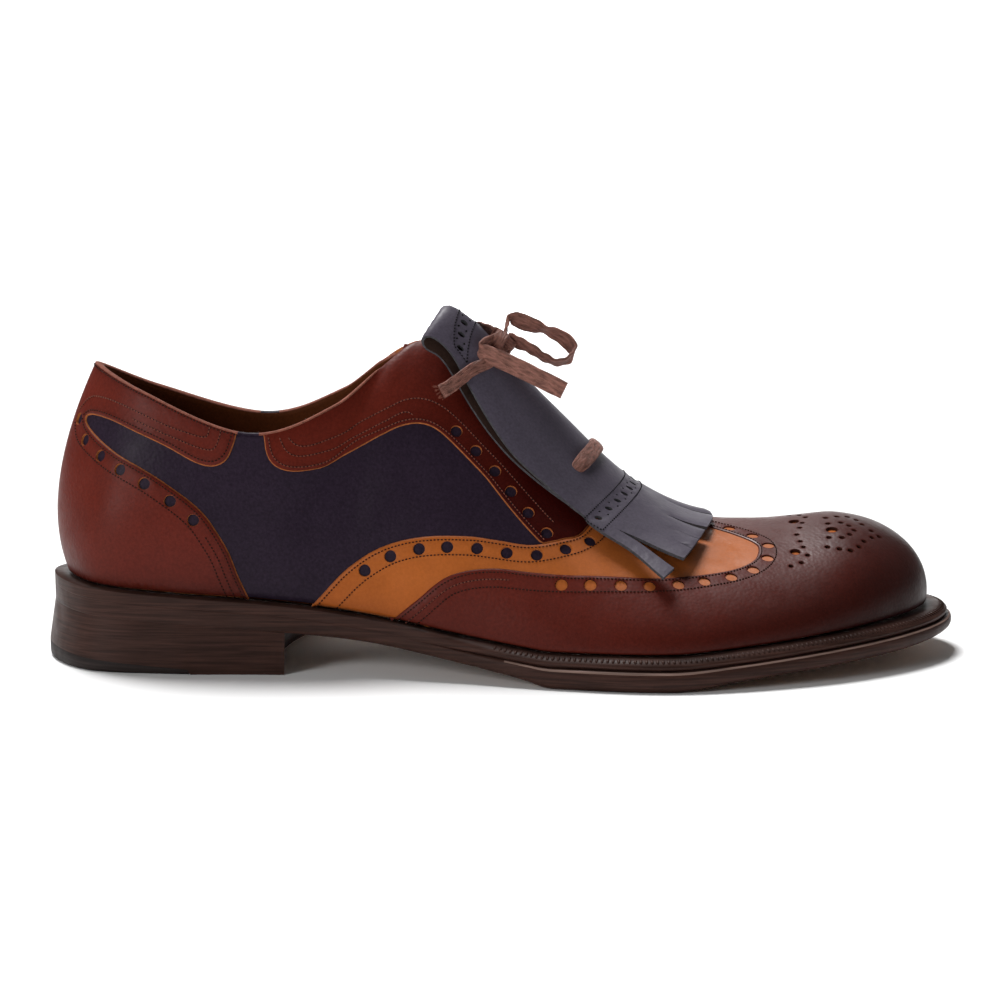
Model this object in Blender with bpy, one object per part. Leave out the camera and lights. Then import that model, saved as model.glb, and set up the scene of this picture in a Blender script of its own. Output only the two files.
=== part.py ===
"""Right oxford shoe with a folded fringe flap, built as separate closed solids."""
import math
from collections import namedtuple

import bmesh
import bpy
import numpy as np
from mathutils import Vector
from mathutils.bvhtree import BVHTree
from mathutils.geometry import delaunay_2d_cdt

# Sizes in millimetres: x from the heel end to the toe, y to the medial side, z up from the floor
MM = 0.001
CENTRE_X = 152.14
CENTRE_Y = -7.4
GAP = 0.3
WELD = 0.002
FOOT_MIDDLE = (150, 0, 40)
UPPER_WALL = 2.0
UPPER_LOW = 0.009
WELT_THICKNESS = 3.2
WELT_SEAT = 7.0
WELT_SET_BACK = 1.5
WAIST_STATION = 6.2
WAIST_FADE = 1.5
WAIST_SHARE = 0.2
SOLE_BEVEL = 1.6
INSOLE_THICKNESS = 3.0
STEPS_PER_SECTION = 3
RISE_STEPS = 8

# Upper by sections from the toe tip to the heel back: feather line, crest or collar, and wall shape
Section = namedtuple("Section", "name lateral_x lateral_y medial_x medial_y top_x top_y half_open "
                     "lateral_top medial_top bulge rise crown flare drop tilt ledge")
SECTIONS = [
    Section("toe tip", 295, 7, 295, 7, 258, 10, 0, 44.7, 44.7, 2.5, 17, 0.65, 0, 0, 0.05, 8.5),
    Section("toe corner", 288, -11, 290, 21, 258, 10, 0, 44.7, 44.7, 2.5, 16, 0.66, 0, 0, 0.06, 8),
    Section("toe side", 269, -29.5, 276, 32, 258, 10, 0, 44.7, 44.7, 2.0, 15, 0.64, 0, 0, 0.08, 7),
    Section("toe root", 242, -45, 252, 38.5, 233, 12, 0, 42.3, 42.3, 2.0, 14, 0.56, 0, 0, 0.09, 6),
    Section("ball", 205, -55, 222, 40, 212, 10, 0, 45.4, 45.4, 1.5, 15, 0.48, 0, 0, 0.09, 6),
    Section("vamp", 170, -51.5, 186, 35.5, 188, 6, 0, 58.6, 58.6, 0.5, 18, 0.45, 0, 0, 0.06, 5),
    Section("instep", 137, -42, 149, 28, 160, 2, 0, 83.0, 83.0, 0, 24, 0.4, 0, 0, 0.02, 3.5),
    Section("facing top", 106, -34, 113, 25.5, 128, 0, 0, 105.0, 105.0, 0, 32, 0.37, 0, 3, 0, 2.5),
    Section("quarter", 75, -31, 79, 28.5, 99, 0, 21, 84.5, 86.5, 2.0, 24, 0, 6, 24, 0, 3),
    Section("ankle", 46, -30.5, 47, 30.5, 71, 0, 28, 76.0, 77.7, 3.5, 20, 0, 3, 22, 0, 3),
    Section("heel corner", 20, -24.5, 21, 24.5, 36, 0, 20, 89.0, 90.0, 5.0, 18, 0, 9, 28, 0, 3.5),
    Section("heel back", 7.5, 0, 7.5, 0, 18, 0, 0, 96.9, 96.9, 6.5, 16, 0, 15, 31, 0, 4.5),
]
TOE_POLE = 2
MEDIAL_FULLNESS = 1.15
FACING_TOP = 7
THROAT_END = 5
LAST = len(SECTIONS) - 1
AROUND = 2 * LAST
THROAT_HALF = 4.0

# Sole side profile: underside and welt top above the floor
Station = namedtuple("Station", "x tread seat")
SOLE_PROFILE = [
    Station(0, 19.4, 28.2),
    Station(40, 16.4, 25.0),
    Station(83, 13.0, 21.6),
    Station(110, 10.4, 18.2),
    Station(140, 5.6, 13.4),
    Station(158, 2.3, 11.0),
    Station(167, 0.0, 10.0),
    Station(203, 0.0, 10.0),
    Station(225, 2.6, 11.3),
    Station(255, 4.9, 13.4),
    Station(280, 6.4, 14.8),
    Station(304, 8.9, 16.0),
]

# Heel block under the rear of the sole
HEEL_FRONT = 7.74
HEEL_FLARE = 2.4
HEEL_HOLLOW = 7.0
HEEL_INSET = 0.2
HEEL_STEPS = 8
HOLLOW_STEPS = 3
TIP_BACK = 5.6
TIP_FRONT = 1.6
TIP_LENGTH = 52.0
ACROSS_STEPS = 6
WEDGE_SIDE = 80.0
WEDGE_BACK = -20.0
WEDGE_LOW = -5.0

# Panels on the upper: edges by station along the sections and rise up the wall
Edge = namedtuple("Edge", "station rise")
WING_LATERAL = [Edge(6.65, 0), Edge(6.4, 0.09), Edge(6.11, 0.2), Edge(5.73, 0.27), Edge(5.35, 0.313),
                Edge(4.64, 0.4), Edge(4.24, 0.457), Edge(3.83, 0.514), Edge(3.44, 0.57), Edge(3.24, 0.62),
                Edge(3.1, 0.69), Edge(3.03, 0.78), Edge(3.27, 0.885), Edge(3.6, 0.935), Edge(4.15, 1)]
WING_MEDIAL = [Edge(4.27, 0.8), Edge(4.42, 0.62), Edge(4.68, 0.48), Edge(5.0, 0.405), Edge(5.35, 0.35),
               Edge(5.73, 0.295), Edge(6.0, 0.245), Edge(6.3, 0.14), Edge(6.5, 0)]
VAMP_BACK = [Edge(7.48, 0), Edge(7.22, 0.107), Edge(7.03, 0.16), Edge(6.79, 0.21), Edge(6.32, 0.29),
             Edge(6.01, 0.334), Edge(5.71, 0.365), Edge(5.4, 0.405), Edge(5.12, 0.485), Edge(4.96, 0.55),
             Edge(4.85, 0.75), Edge(4.83, 1)]
FACING_LOW = [Edge(8.82, 1), Edge(8.74, 0.87), Edge(8.4, 0.77), Edge(8.03, 0.71), Edge(7.41, 0.515),
              Edge(7.03, 0.5), Edge(6.8, 0.54), Edge(6.5, 0.572), Edge(6.06, 0.542), Edge(5.79, 0.5),
              Edge(5.57, 0.466), Edge(5.32, 0.43)]
COUNTER_FRONT = [Edge(8.14, 0), Edge(8.24, 0.084), Edge(8.48, 0.254), Edge(8.87, 0.44), Edge(9.2, 0.573),
                 Edge(9.5, 0.656), Edge(9.76, 0.7), Edge(10.1, 0.735), Edge(10.52, 0.81)]
COLLAR_LOW = [Edge(10.5, 0.845), Edge(10.25, 0.863), Edge(9.94, 0.853), Edge(9.63, 0.839), Edge(9.37, 0.811),
              Edge(9.24, 0.815), Edge(9.16, 0.855), Edge(9.13, 0.93), Edge(9.11, 1)]
PANEL_LOW = 0.022
VAMP_SKEW = 0.15
SKEW_FADE = 4.0
FACING_CLEARANCE = 0.27
FACING_SEAM = 0.03
FACING_EASE_RISE = 0.55
FACING_EASE = 0.2
VAMP_THICKNESS = 1.0
FACING_THICKNESS = 1.2
COUNTER_THICKNESS = 1.3
WING_THICKNESS = 1.6
CUTTER_DEPTH = 9.0
CHART_STEP = 0.25
CHART_RISE = 0.1
EDGE_PIECES = 2
FOOT_PIECES = 4
BACK_PIECES = 24
COLLAR_PIECES = 14
HEEL_PIECES = 20
BOW_PIECES = 2
CUTTER_OVERRUN = 0.06
WING_LIMIT = 6.98
WING_LIMIT_LOW = 115.5
WING_LIMIT_HIGH = 134.0
BLOCK_SIDE = 90.0
BLOCK_FRONT = 340.0
BLOCK_TOP = 120.0
CHART_PROBE = 0.004

# Tongue under the throat
TONGUE_THICKNESS = 1.8
TONGUE_REACH = 24.0
TONGUE_EXTRA = 7.0
TONGUE_DIP = 1.5
TONGUE_TOP_SHARE = 0.8
TONGUE_PLACES = (192, 180, 168, 156, 144, 134, 128)
TONGUE_STEPS = 8

# Fringe flap: place along the crest, run past it for the fold, lift off the crest, half width, and end sweep
Fold = namedtuple("Fold", "crest_x past lift half sweep")
FLAP_THICKNESS = 1.6
FLAP_CLEARANCE = 3.4
FLAP = [
    Fold(172, 0, 3.2, 28, 0),
    Fold(160, 0, 3.2, 25, 0),
    Fold(146, 0, 3.2, 20, 0),
    Fold(134, 0, 3.2, 16, 0),
    Fold(131, 2.0, 3.6, 16, 0),
    Fold(131, 5.4, 5.3, 16, 0),
    Fold(131, 6.4, 8.0, 16, 0),
    Fold(131, 4.8, 10.6, 16, 0),
    Fold(131, 1.0, 11.6, 16, 0),
    Fold(136, 0, 10.6, 17, 0),
    Fold(144, 0, 8.8, 20.5, 0),
    Fold(154, 0, 7.2, 25, 0),
    Fold(164, 0, 5.6, 29, 0),
    Fold(177, 0, 4.8, 33, 0),
    Fold(186, 0, 4.4, 36, 1),
    Fold(191, 0, 4.2, 39, 3),
    Fold(206, 0, 4.0, 46, 8),
    Fold(221, 0, 3.8, 54, 15),
]
FOLD_END = 9
FRINGE_START = 15
SLIT_WIDTH = 0.8
STRIPS = 9
FLAP_SHIFT = 0.08
FLAP_STEPS_PER_STRIP = 1

# Rays that find the upper's arch under the flap
ARCH_START = 0.1
ARCH_STEP = 2.0
ARCH_STEPS = 28
ARCH_HEIGHT = 12.0
ARCH_DEPTH = 90.0
ARCH_STEEPEST = 6.0
ARCH_PROBE = 2.0
ARCH_STATIONS = 7.5
ARCH_STATION_STEP = 0.25

# Lace: a flat ribbon in two bars over the flap, a knot, a loop and two free ends
LACE_WIDTH = 5.5
LACE_THICKNESS = 1.0
Bar = namedtuple("Bar", "crest_x reach lift")
LOWER_BAR = Bar(180.0, 19.0, 1.6)
UPPER_BAR = Bar(146.5, 9.0, 1.6)
BAR_STEPS = 8
Ribbon = namedtuple("Ribbon", "x y z roll")
LACE_LOOP = [
    Ribbon(154.5, 3, 107.0, 10), Ribbon(155.5, 4, 111.4, 10), Ribbon(160, 5, 110.4, 15),
    Ribbon(166, 6, 107.8, 20), Ribbon(172.5, 5, 105.6, 25), Ribbon(175.8, 2, 101.4, 20),
    Ribbon(173.5, -1, 97.6, 15), Ribbon(169, -2, 96.4, 15), Ribbon(164.5, -2, 97.8, 15),
    Ribbon(158, -1, 101.6, 15),
]
LACE_END_FRONT = [
    Ribbon(147.5, -11, 104.2, 80), Ribbon(152, -13.5, 101.5, 75), Ribbon(158, -16, 97, 75),
    Ribbon(165, -18, 92.5, 75), Ribbon(172, -19, 88.8, 75),
]
LACE_END_BACK = [
    Ribbon(148.1, -12.3, 98.1, -80), Ribbon(145.1, -15.8, 95.6, -80), Ribbon(141.6, -19.4, 92.8, -80),
    Ribbon(138.1, -22, 90.2, -80), Ribbon(135.6, -23.5, 88.6, -80),
]
KNOT_SIZE = (3.6, 4.0, 1.5)
RIBBON_LEAN = 0.2

# Finishes: linear colour and roughness
Finish = namedtuple("Finish", "red green blue roughness")
FINISHES = {
    "brown leather": Finish(0.23, 0.075, 0.03, 0.45),
    "navy leather": Finish(0.02, 0.035, 0.10, 0.5),
    "tan leather": Finish(0.50, 0.22, 0.06, 0.45),
    "sole leather": Finish(0.09, 0.035, 0.02, 0.4),
    "lining leather": Finish(0.45, 0.26, 0.13, 0.6),
    "heel rubber": Finish(0.02, 0.015, 0.013, 0.7),
    "lace cord": Finish(0.10, 0.05, 0.035, 0.8),
}


def clear_scene():
    """Remove every object of the opened scene."""
    for item in list(bpy.data.objects):
        bpy.data.objects.remove(item, do_unlink=True)


def material(name, row):
    """Make a plain shaded material from its finish."""
    colour = (row.red, row.green, row.blue)
    made = bpy.data.materials.new(name)
    made.use_nodes = True
    shader = made.node_tree.nodes["Principled BSDF"]
    shader.inputs["Base Color"].default_value = (*colour, 1.0)
    shader.inputs["Roughness"].default_value = row.roughness
    made.diffuse_color = (*colour, 1.0)
    return made


def place(point):
    """Turn a millimetre point into scene metres about the shoe's middle."""
    return Vector(((point[0] - CENTRE_X) * MM, (point[1] - CENTRE_Y) * MM, point[2] * MM))


def add_object(name, points, faces, surface):
    """Make a named object from millimetre points, with doubles welded and faces turned outward."""
    form = bmesh.new()
    corners = [form.verts.new(place(point)) for point in points]
    for face in faces:
        form.faces.new([corners[index] for index in face])
    bmesh.ops.remove_doubles(form, verts=form.verts, dist=WELD * MM)
    bmesh.ops.dissolve_degenerate(form, edges=form.edges, dist=WELD * MM)
    bmesh.ops.recalc_face_normals(form, faces=form.faces)
    mesh = bpy.data.meshes.new(name)
    form.to_mesh(mesh)
    form.free()
    mesh.materials.append(surface)
    made = bpy.data.objects.new(name, mesh)
    bpy.context.scene.collection.objects.link(made)
    return made


def monotone(xs, ys, x):
    """Smooth curve through table points that never overshoots between them."""
    xs = np.asarray(xs, float)
    ys = np.asarray(ys, float)
    run = np.diff(xs)
    slope = np.diff(ys) / run
    tangent = np.zeros(len(xs))
    for index in range(1, len(xs) - 1):
        before, after = slope[index - 1], slope[index]
        if before * after > 0:
            tangent[index] = 2 * before * after / (before + after)
    tangent[0], tangent[-1] = slope[0], slope[-1]
    place_in = int(np.clip(np.searchsorted(xs, x) - 1, 0, len(run) - 1))
    share = float(np.clip((x - xs[place_in]) / run[place_in], 0, 1))
    start = ys[place_in] + run[place_in] * tangent[place_in] * share * (1 - share) ** 2
    end_pull = run[place_in] * tangent[place_in + 1] * share ** 2 * (share - 1)
    return float(start + (ys[place_in + 1] - ys[place_in]) * share ** 2 * (3 - 2 * share) + end_pull)


def tread(x):
    """Height of the sole's underside."""
    return monotone([row.x for row in SOLE_PROFILE], [row.tread for row in SOLE_PROFILE], x)


def seat(x):
    """Height of the welt's top, where the upper stands."""
    return monotone([row.x for row in SOLE_PROFILE], [row.seat for row in SOLE_PROFILE], x)


def spline(values, station):
    """Closed smooth curve through one value per section around the shoe."""
    base = int(math.floor(station))
    share = station - base
    before, here, after, later = (values[(base + step) % AROUND] for step in (-1, 0, 1, 2))
    cubic = -before + 3 * here - 3 * after + later
    square = 2 * before - 5 * here + 4 * after - later
    return 0.5 * (2 * here + (after - before) * share + square * share ** 2 + cubic * share ** 3)


def section_order():
    """Sections once around the shoe: lateral side from the tip, heel back, then medial side."""
    order = [(row, -1) for row in SECTIONS]
    order += [(row, 1) for row in SECTIONS[-2:0:-1]]
    return order


def outward(points, index):
    """Plan direction away from the foot at one point of a closed plan outline."""
    along = points[(index + 1) % len(points)] - points[index - 1]
    across = np.array([along[1], -along[0]]) / np.hypot(*along)
    return -across


def control_points():
    """Four guide points per section for the upper's wall, with the sole ledge and its direction."""
    order = section_order()
    feather = [(row.lateral_x, row.lateral_y) if side < 0 else (row.medial_x, row.medial_y)
               for row, side in order]
    feather = [np.array(point, float) for point in feather]
    middle = np.mean(feather, axis=0)
    crest_x = [row.top_x for row in SECTIONS[:FACING_TOP + 1]]
    crest_z = [row.lateral_top for row in SECTIONS[:FACING_TOP + 1]]
    guides = []
    ways = []
    for index, (row, side) in enumerate(order):
        way = outward(feather, index)
        if way @ (feather[index] - middle) < 0:
            way = -way
        foot = np.array([*feather[index], seat(feather[index][0]) + GAP])
        top_z = row.lateral_top if side < 0 else row.medial_top
        top = np.array([row.top_x, row.top_y + side * row.half_open, top_z], float)
        number = SECTIONS.index(row)
        if number <= FACING_TOP:
            lean = (feather[index] - top[:2]) * row.crown * (1 if side < 0 else MEDIAL_FULLNESS)
            low, high = max(number - 1, TOE_POLE), max(min(number + 1, FACING_TOP), TOE_POLE + 1)
            slope = (crest_z[high] - crest_z[low]) / (crest_x[high] - crest_x[low])
            if number <= TOE_POLE:
                slope = slope / 2
            shoulder = top + np.array([lean[0], lean[1], lean[0] * slope + lean[1] * row.tilt])
        else:
            shoulder = top + row.flare * np.array([way[0], way[1], 0])
        shoulder[2] -= row.drop
        wall = foot + np.array([way[0] * row.bulge, way[1] * row.bulge, row.rise])
        guides.append((foot, wall, shoulder, top))
        ways.append(way)
    return np.array(guides), np.array(ways), np.array([row.ledge for row, _ in order], float)


GUIDES, WAYS, LEDGES = control_points()


def guide(station):
    """Guide points of the wall at any station; the two sides share one crest ahead of the collar."""
    found = [spline(GUIDES[:, which], station) for which in range(4)]
    found[0][2] = seat(found[0][0]) + GAP
    around = station % AROUND
    along = min(around, AROUND - around)
    if along <= TOE_POLE:
        found[3] = GUIDES[0, 3]
    elif along <= FACING_TOP:
        found[3] = (found[3] + spline(GUIDES[:, 3], -station)) / 2
    return found


def outer(station, rise):
    """Point on the upper's outside: station around the shoe, rise from feather (0) to crest (1)."""
    foot, wall, shoulder, top = guide(station)
    rest = 1 - rise
    return rest ** 3 * foot + 3 * rest ** 2 * rise * wall + 3 * rest * rise ** 2 * shoulder + rise ** 3 * top


def top_rise(station):
    """Highest rise of the upper: 1, or less along the throat slit."""
    around = station % AROUND
    along = min(around, AROUND - around)
    if along <= THROAT_END or along >= FACING_TOP + 0.5:
        return 1.0
    shoulder, top = guide(station)[2:]
    near_crest = 3 * np.linalg.norm(top - shoulder)
    share = min(1.0, (along - THROAT_END) * 3)
    if along > FACING_TOP:
        share = max(0.0, 1 - (along - FACING_TOP) * 3)
    return 1 - share * THROAT_HALF / near_crest


def stations_around():
    """Evenly stepped stations once around the shoe."""
    return [step / STEPS_PER_SECTION for step in range(AROUND * STEPS_PER_SECTION)]


def edge_way(station):
    """Plan direction outward at any station."""
    way = spline(WAYS, station)
    return way / np.hypot(*way)


def plan_point(station, shift):
    """Feather line in plan, moved outward by a shift."""
    return spline(GUIDES[:, 0], station)[:2] + shift * edge_way(station)


def ledge(station):
    """How far the sole stands out past the upper."""
    return spline(LEDGES, station)


def skin(name, lift, surface, low=0.0):
    """Open sheet over the whole upper at a lift from its outside, from a low rise to the top."""
    stations = stations_around()
    points = []
    for station in stations:
        high = top_rise(station)
        points += [outer(station, low + (high - low) * step / RISE_STEPS) for step in range(RISE_STEPS + 1)]
    faces = []
    row = RISE_STEPS + 1
    count = len(stations)
    for index in range(count):
        after = (index + 1) % count
        for step in range(RISE_STEPS):
            faces.append((index * row + step, after * row + step,
                          after * row + step + 1, index * row + step + 1))
    made = add_object(name, points, faces, surface)
    turn_outward(made)
    if lift:
        for vertex in made.data.vertices:
            vertex.co += vertex.normal * lift * MM
    return made


def turn_outward(item):
    """Make a sheet's faces look away from the inside of the foot."""
    middle = place(FOOT_MIDDLE)
    total = sum((face.center - middle).dot(face.normal) * face.area for face in item.data.polygons)
    if total < 0:
        item.data.flip_normals()


def thicken(item, thickness, offset, even=True):
    """Give a sheet a wall: offset -1 grows inward, 1 outward, 0 both ways."""
    wall = item.modifiers.new("wall", "SOLIDIFY")
    wall.thickness = thickness * MM
    wall.offset = offset
    wall.use_even_offset = even
    wall.use_quality_normals = True
    item.modifiers.new("flat faces", "TRIANGULATE")


def ladder(name, rings, surface, closed=False):
    """Solid from rings of equal length; end rings may be flat lines that close by welding."""
    points = [point for ring in rings for point in ring]
    size = len(rings[0])
    faces = []
    pairs = [(index, index + 1) for index in range(len(rings) - 1)]
    if closed:
        pairs.append((len(rings) - 1, 0))
    for first, second in pairs:
        for step in range(size):
            after = (step + 1) % size
            faces.append((first * size + step, first * size + after,
                          second * size + after, second * size + step))
    return add_object(name, points, faces, surface)


def raised(plan, height):
    """Join a plan point and a height."""
    return (plan[0], plan[1], height)


def outsole(surface):
    """Sole from heel end to toe with a bevelled edge, a rim for the welt and a raised middle."""
    rings = []
    for step in range(LAST * STEPS_PER_SECTION + 1):
        along = step / STEPS_PER_SECTION
        ring = []
        for station, turn in ((along, 1), (-along, -1)):
            out = ledge(station)
            edge = plan_point(station, out)
            low = plan_point(station, out - SOLE_BEVEL)
            inner = plan_point(station, -WELT_SEAT)
            rim = seat(edge[0]) - WELT_THICKNESS - GAP
            side = [raised(low, tread(low[0])), raised(edge, tread(edge[0]) + SOLE_BEVEL), raised(edge, rim),
                    raised(inner, seat(inner[0]) - WELT_THICKNESS - GAP), raised(inner, seat(inner[0]))]
            ring += side[::turn]
        rings.append(ring)
    return ladder("outsole", rings, surface)


def welt(surface):
    """Ring of leather between upper and outsole, set back from the outsole at the forefoot."""
    rings = []
    for station in stations_around():
        around = min(station, AROUND - station)
        set_back = WELT_SET_BACK * float(np.clip((WAIST_STATION - around) / WAIST_FADE, WAIST_SHARE, 1))
        edge = plan_point(station, ledge(station) - set_back)
        inner = plan_point(station, -WELT_SEAT + GAP)
        rings.append([raised(edge, seat(edge[0])), raised(edge, seat(edge[0]) - WELT_THICKNESS),
                      raised(inner, seat(inner[0]) - WELT_THICKNESS), raised(inner, seat(inner[0]))])
    return ladder("welt", rings, surface, closed=True)


def insole(surface):
    """Foot bed inside the upper."""
    rings = []
    for step in range(LAST * STEPS_PER_SECTION + 1):
        along = step / STEPS_PER_SECTION
        ring = []
        for station, turn in ((along, 1), (-along, -1)):
            edge = plan_point(station, -UPPER_WALL - 4 * GAP)
            base = seat(edge[0]) + GAP
            ring += [raised(edge, base), raised(edge, base + INSOLE_THICKNESS)][::turn]
        rings.append(ring)
    return ladder("insole", rings, surface)


def heel_rungs(shift, low, high):
    """Rings of the heel block from its breast to the back, hollowed at the breast."""
    rings = []
    for step in range(HEEL_STEPS + 1):
        along = HEEL_FRONT + (LAST - HEEL_FRONT) * step / HEEL_STEPS
        hollow = HEEL_HOLLOW * max(0.0, 1 - step / HOLLOW_STEPS)
        top = []
        base = []
        for part_way in range(ACROSS_STEPS + 1):
            share = part_way / ACROSS_STEPS
            sag = hollow * (1 - (2 * share - 1) ** 2)
            for level, grow in ((top, 0.0), (base, HEEL_FLARE)):
                near = plan_point(along, ledge(along) + shift + grow)
                far = plan_point(-along, ledge(-along) + shift + grow)
                spot = near + (far - near) * share
                spot[0] -= sag
                level.append(spot)
        ring = [raised(spot, high(spot[0])) for spot in top]
        ring += [raised(spot, low) for spot in reversed(base)]
        rings.append(ring)
    return rings


def capped(name, rings, surface, both=False):
    """Solid from open-ended rings, with its first ring filled, or both."""
    size = len(rings[0])
    points = [point for ring in rings for point in ring]
    faces = []
    for first in range(len(rings) - 1):
        for step in range(size):
            after = (step + 1) % size
            faces.append((first * size + step, first * size + after,
                          (first + 1) * size + after, (first + 1) * size + step))
    for start in (0, len(points) - size)[:2 if both else 1]:
        for step in range(size // 2 - 1):
            faces.append((start + step, start + size - 1 - step, start + size - 2 - step, start + step + 1))
    return add_object(name, points, faces, surface)


def heel(block_surface, tip_surface):
    """Heel stack with its rubber corner let into the rear."""
    stack = capped("heel_stack", heel_rungs(-HEEL_INSET, 0.0, lambda x: tread(x) - GAP), block_surface)
    tip = capped("heel_tip", heel_rungs(-HEEL_INSET, 0.0, lambda x: tread(x) - GAP), tip_surface)
    room = wedge("heel_room", TIP_LENGTH + GAP, GAP, tip_surface)
    core = wedge("heel_core", TIP_LENGTH, 0.0, tip_surface)
    cut(stack, room, "DIFFERENCE")
    cut(tip, core, "INTERSECT")


def wedge(name, length, lift, surface):
    """Cutter for the heel tip: thick at the back, thin at the front."""
    slope = (TIP_FRONT - TIP_BACK) / TIP_LENGTH
    front = TIP_BACK + slope * length + lift
    back = TIP_BACK + slope * WEDGE_BACK + lift
    points = []
    for y in (-WEDGE_SIDE, WEDGE_SIDE):
        points += [(WEDGE_BACK, y, WEDGE_LOW), (length, y, WEDGE_LOW)]
        points += [(length, y, front), (WEDGE_BACK, y, back)]
    faces = [(0, 1, 2, 3), (7, 6, 5, 4), (0, 4, 5, 1), (1, 5, 6, 2), (2, 6, 7, 3), (3, 7, 4, 0)]
    return hide(add_object(name, points, faces, surface))


def hide(item):
    """Keep a cutter out of the finished shoe."""
    item.hide_render = True
    item.display_type = "WIRE"
    return item


def cut(item, cutter, how):
    """Add an exact Boolean to an object."""
    step = item.modifiers.new(how.lower(), "BOOLEAN")
    step.operation = how
    step.object = cutter
    step.solver = "EXACT"


def smooth_line(edge, pieces):
    """Rounded line through the rows of an edge table."""
    rows = [np.array(row, float) for row in edge]
    line = []
    for index in range(len(rows) - 1):
        before = rows[max(index - 1, 0)]
        later = rows[min(index + 2, len(rows) - 1)]
        here, after = rows[index], rows[index + 1]
        for step in range(pieces):
            share = step / pieces
            bend = 2 * before - 5 * here + 4 * after - later
            twist = -before + 3 * here - 3 * after + later
            line.append(0.5 * (2 * here + (after - before) * share + bend * share ** 2 + twist * share ** 3))
    line.append(rows[-1])
    return line


def front_point(spot):
    """Point of the front chart: station along and distance from the crest, lateral positive."""
    along, aside = spot
    rise = 1 - abs(aside)
    return outer(along if aside >= 0 else -along, rise)


def rear_point(spot):
    """Point of the rear chart: station around the heel and rise."""
    return outer(spot[0], spot[1])


def inside(spot, ring):
    """Whether a chart point lies within a ring."""
    within = False
    for index, (x1, y1) in enumerate(ring):
        x0, y0 = ring[index - 1]
        if (y0 > spot[1]) != (y1 > spot[1]):
            if spot[0] < x0 + (spot[1] - y0) * (x1 - x0) / (y1 - y0):
                within = not within
    return within


def cutter_sheet(name, ring, mapping, surface):
    """Thick cutter over the upper for one panel, from its ring in a chart."""
    low = np.min(ring, axis=0)
    high = np.max(ring, axis=0)
    inner = []
    for x in np.arange(low[0] + CHART_STEP / 2, high[0], CHART_STEP):
        for y in np.arange(low[1] + CHART_RISE / 2, high[1], CHART_RISE):
            if inside((x, y), ring):
                inner.append((float(x), float(y)))
    spots = [Vector(spot) for spot in ring] + [Vector(spot) for spot in inner]
    border = [(index, (index + 1) % len(ring)) for index in range(len(ring))]
    found = delaunay_2d_cdt(spots, border, [list(range(len(ring)))], 1, 1e-6)
    points = [mapping(spot) for spot in found[0]]
    sheet = add_object(name, points, [tuple(face) for face in found[2]], surface)
    turn_outward(sheet)
    thicken(sheet, CUTTER_DEPTH, 0, even=False)
    return hide(sheet)


def even_line(start, end, pieces):
    """Straight line in a chart, without its last point."""
    start, end = np.array(start, float), np.array(end, float)
    return [start + (end - start) * step / pieces for step in range(pieces)]


def wing_edge():
    """Back edge of the toe wing in the front chart, from the lateral to the medial feather."""
    lateral = [(row.station, 1 - row.rise) for row in WING_LATERAL]
    medial = [(row.station, row.rise - 1) for row in WING_MEDIAL]
    return smooth_line(lateral + medial, EDGE_PIECES)


def behind_wing_ring():
    """Upper behind the toe wing in the front chart."""
    edge = wing_edge()
    low = 1 + CUTTER_OVERRUN
    ring = list(reversed(edge))
    ring += even_line((edge[0][0], low), (WING_LIMIT, low), FOOT_PIECES)
    ring += even_line((WING_LIMIT, low), (WING_LIMIT, -low), BACK_PIECES)
    ring += even_line((WING_LIMIT, -low), (edge[-1][0], -low), FOOT_PIECES)
    ring.append(np.array((edge[-1][0], -low)))
    return ring


def vamp_ring():
    """Vamp in the front chart, from the wing's edge to the throat."""
    front = beside(wing_edge(), front_point, 2 * GAP)
    back = [(row.station, 1 - row.rise) for row in VAMP_BACK]
    far = [(station - VAMP_SKEW * min(1.0, SKEW_FADE * (1 - abs(aside))), -aside)
           for station, aside in reversed(back[:-1])]
    edge = smooth_line(back + far, EDGE_PIECES)
    ring = list(reversed(front))
    ring += even_line(front[0], edge[0], FOOT_PIECES)[1:]
    ring += edge
    ring += even_line(edge[-1], front[-1], FOOT_PIECES)[1:]
    return ring


def beside(line, mapping, distance):
    """Line moved sideways over the upper by a real distance."""
    moved = []
    for index, spot in enumerate(line):
        spot = np.array(spot, float)
        ahead = np.array(line[min(index + 1, len(line) - 1)], float)
        behind = np.array(line[max(index - 1, 0)], float)
        way = np.array(mapping(ahead)) - np.array(mapping(behind))
        along, across = (np.array(mapping(spot + step)) - np.array(mapping(spot - step))
                         for step in ((CHART_PROBE, 0), (0, CHART_PROBE)))
        along, across = along / (2 * CHART_PROBE), across / (2 * CHART_PROBE)
        side = np.cross(np.cross(along, across), way)
        side = side / np.linalg.norm(side) * distance
        shift = np.linalg.lstsq(np.stack([along, across], axis=1), side, rcond=None)[0]
        moved.append(spot + shift)
    return moved


def facing_ring(side):
    """Facing panel on one side, in the rear chart."""
    low = [(row.station, row.rise) for row in FACING_LOW]
    back = smooth_line([(row.station, row.rise) for row in VAMP_BACK], EDGE_PIECES)
    joint = [spot for spot in back if spot[1] >= low[-1][1] and spot[0] < low[-1][0]]
    shift = VAMP_SKEW if side > 0 else 0.0
    ring = smooth_line(low, EDGE_PIECES)[:-1]
    for spot in joint:
        ease = float(np.clip((spot[1] - FACING_EASE_RISE) / FACING_EASE, 0, 1))
        station = spot[0] + FACING_SEAM + (FACING_CLEARANCE + shift) * ease
        ring.append(np.array((station - shift * min(1.0, SKEW_FADE * spot[1]), spot[1])))
    for station, _ in even_line((ring[-1][0], 1), (FACING_LOW[0].station, 1), BACK_PIECES):
        ring.append(np.array((station, top_rise(station) + CUTTER_OVERRUN / 3)))
    return [(spot[0], spot[1]) if side < 0 else (AROUND - spot[0], spot[1]) for spot in ring]


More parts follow.
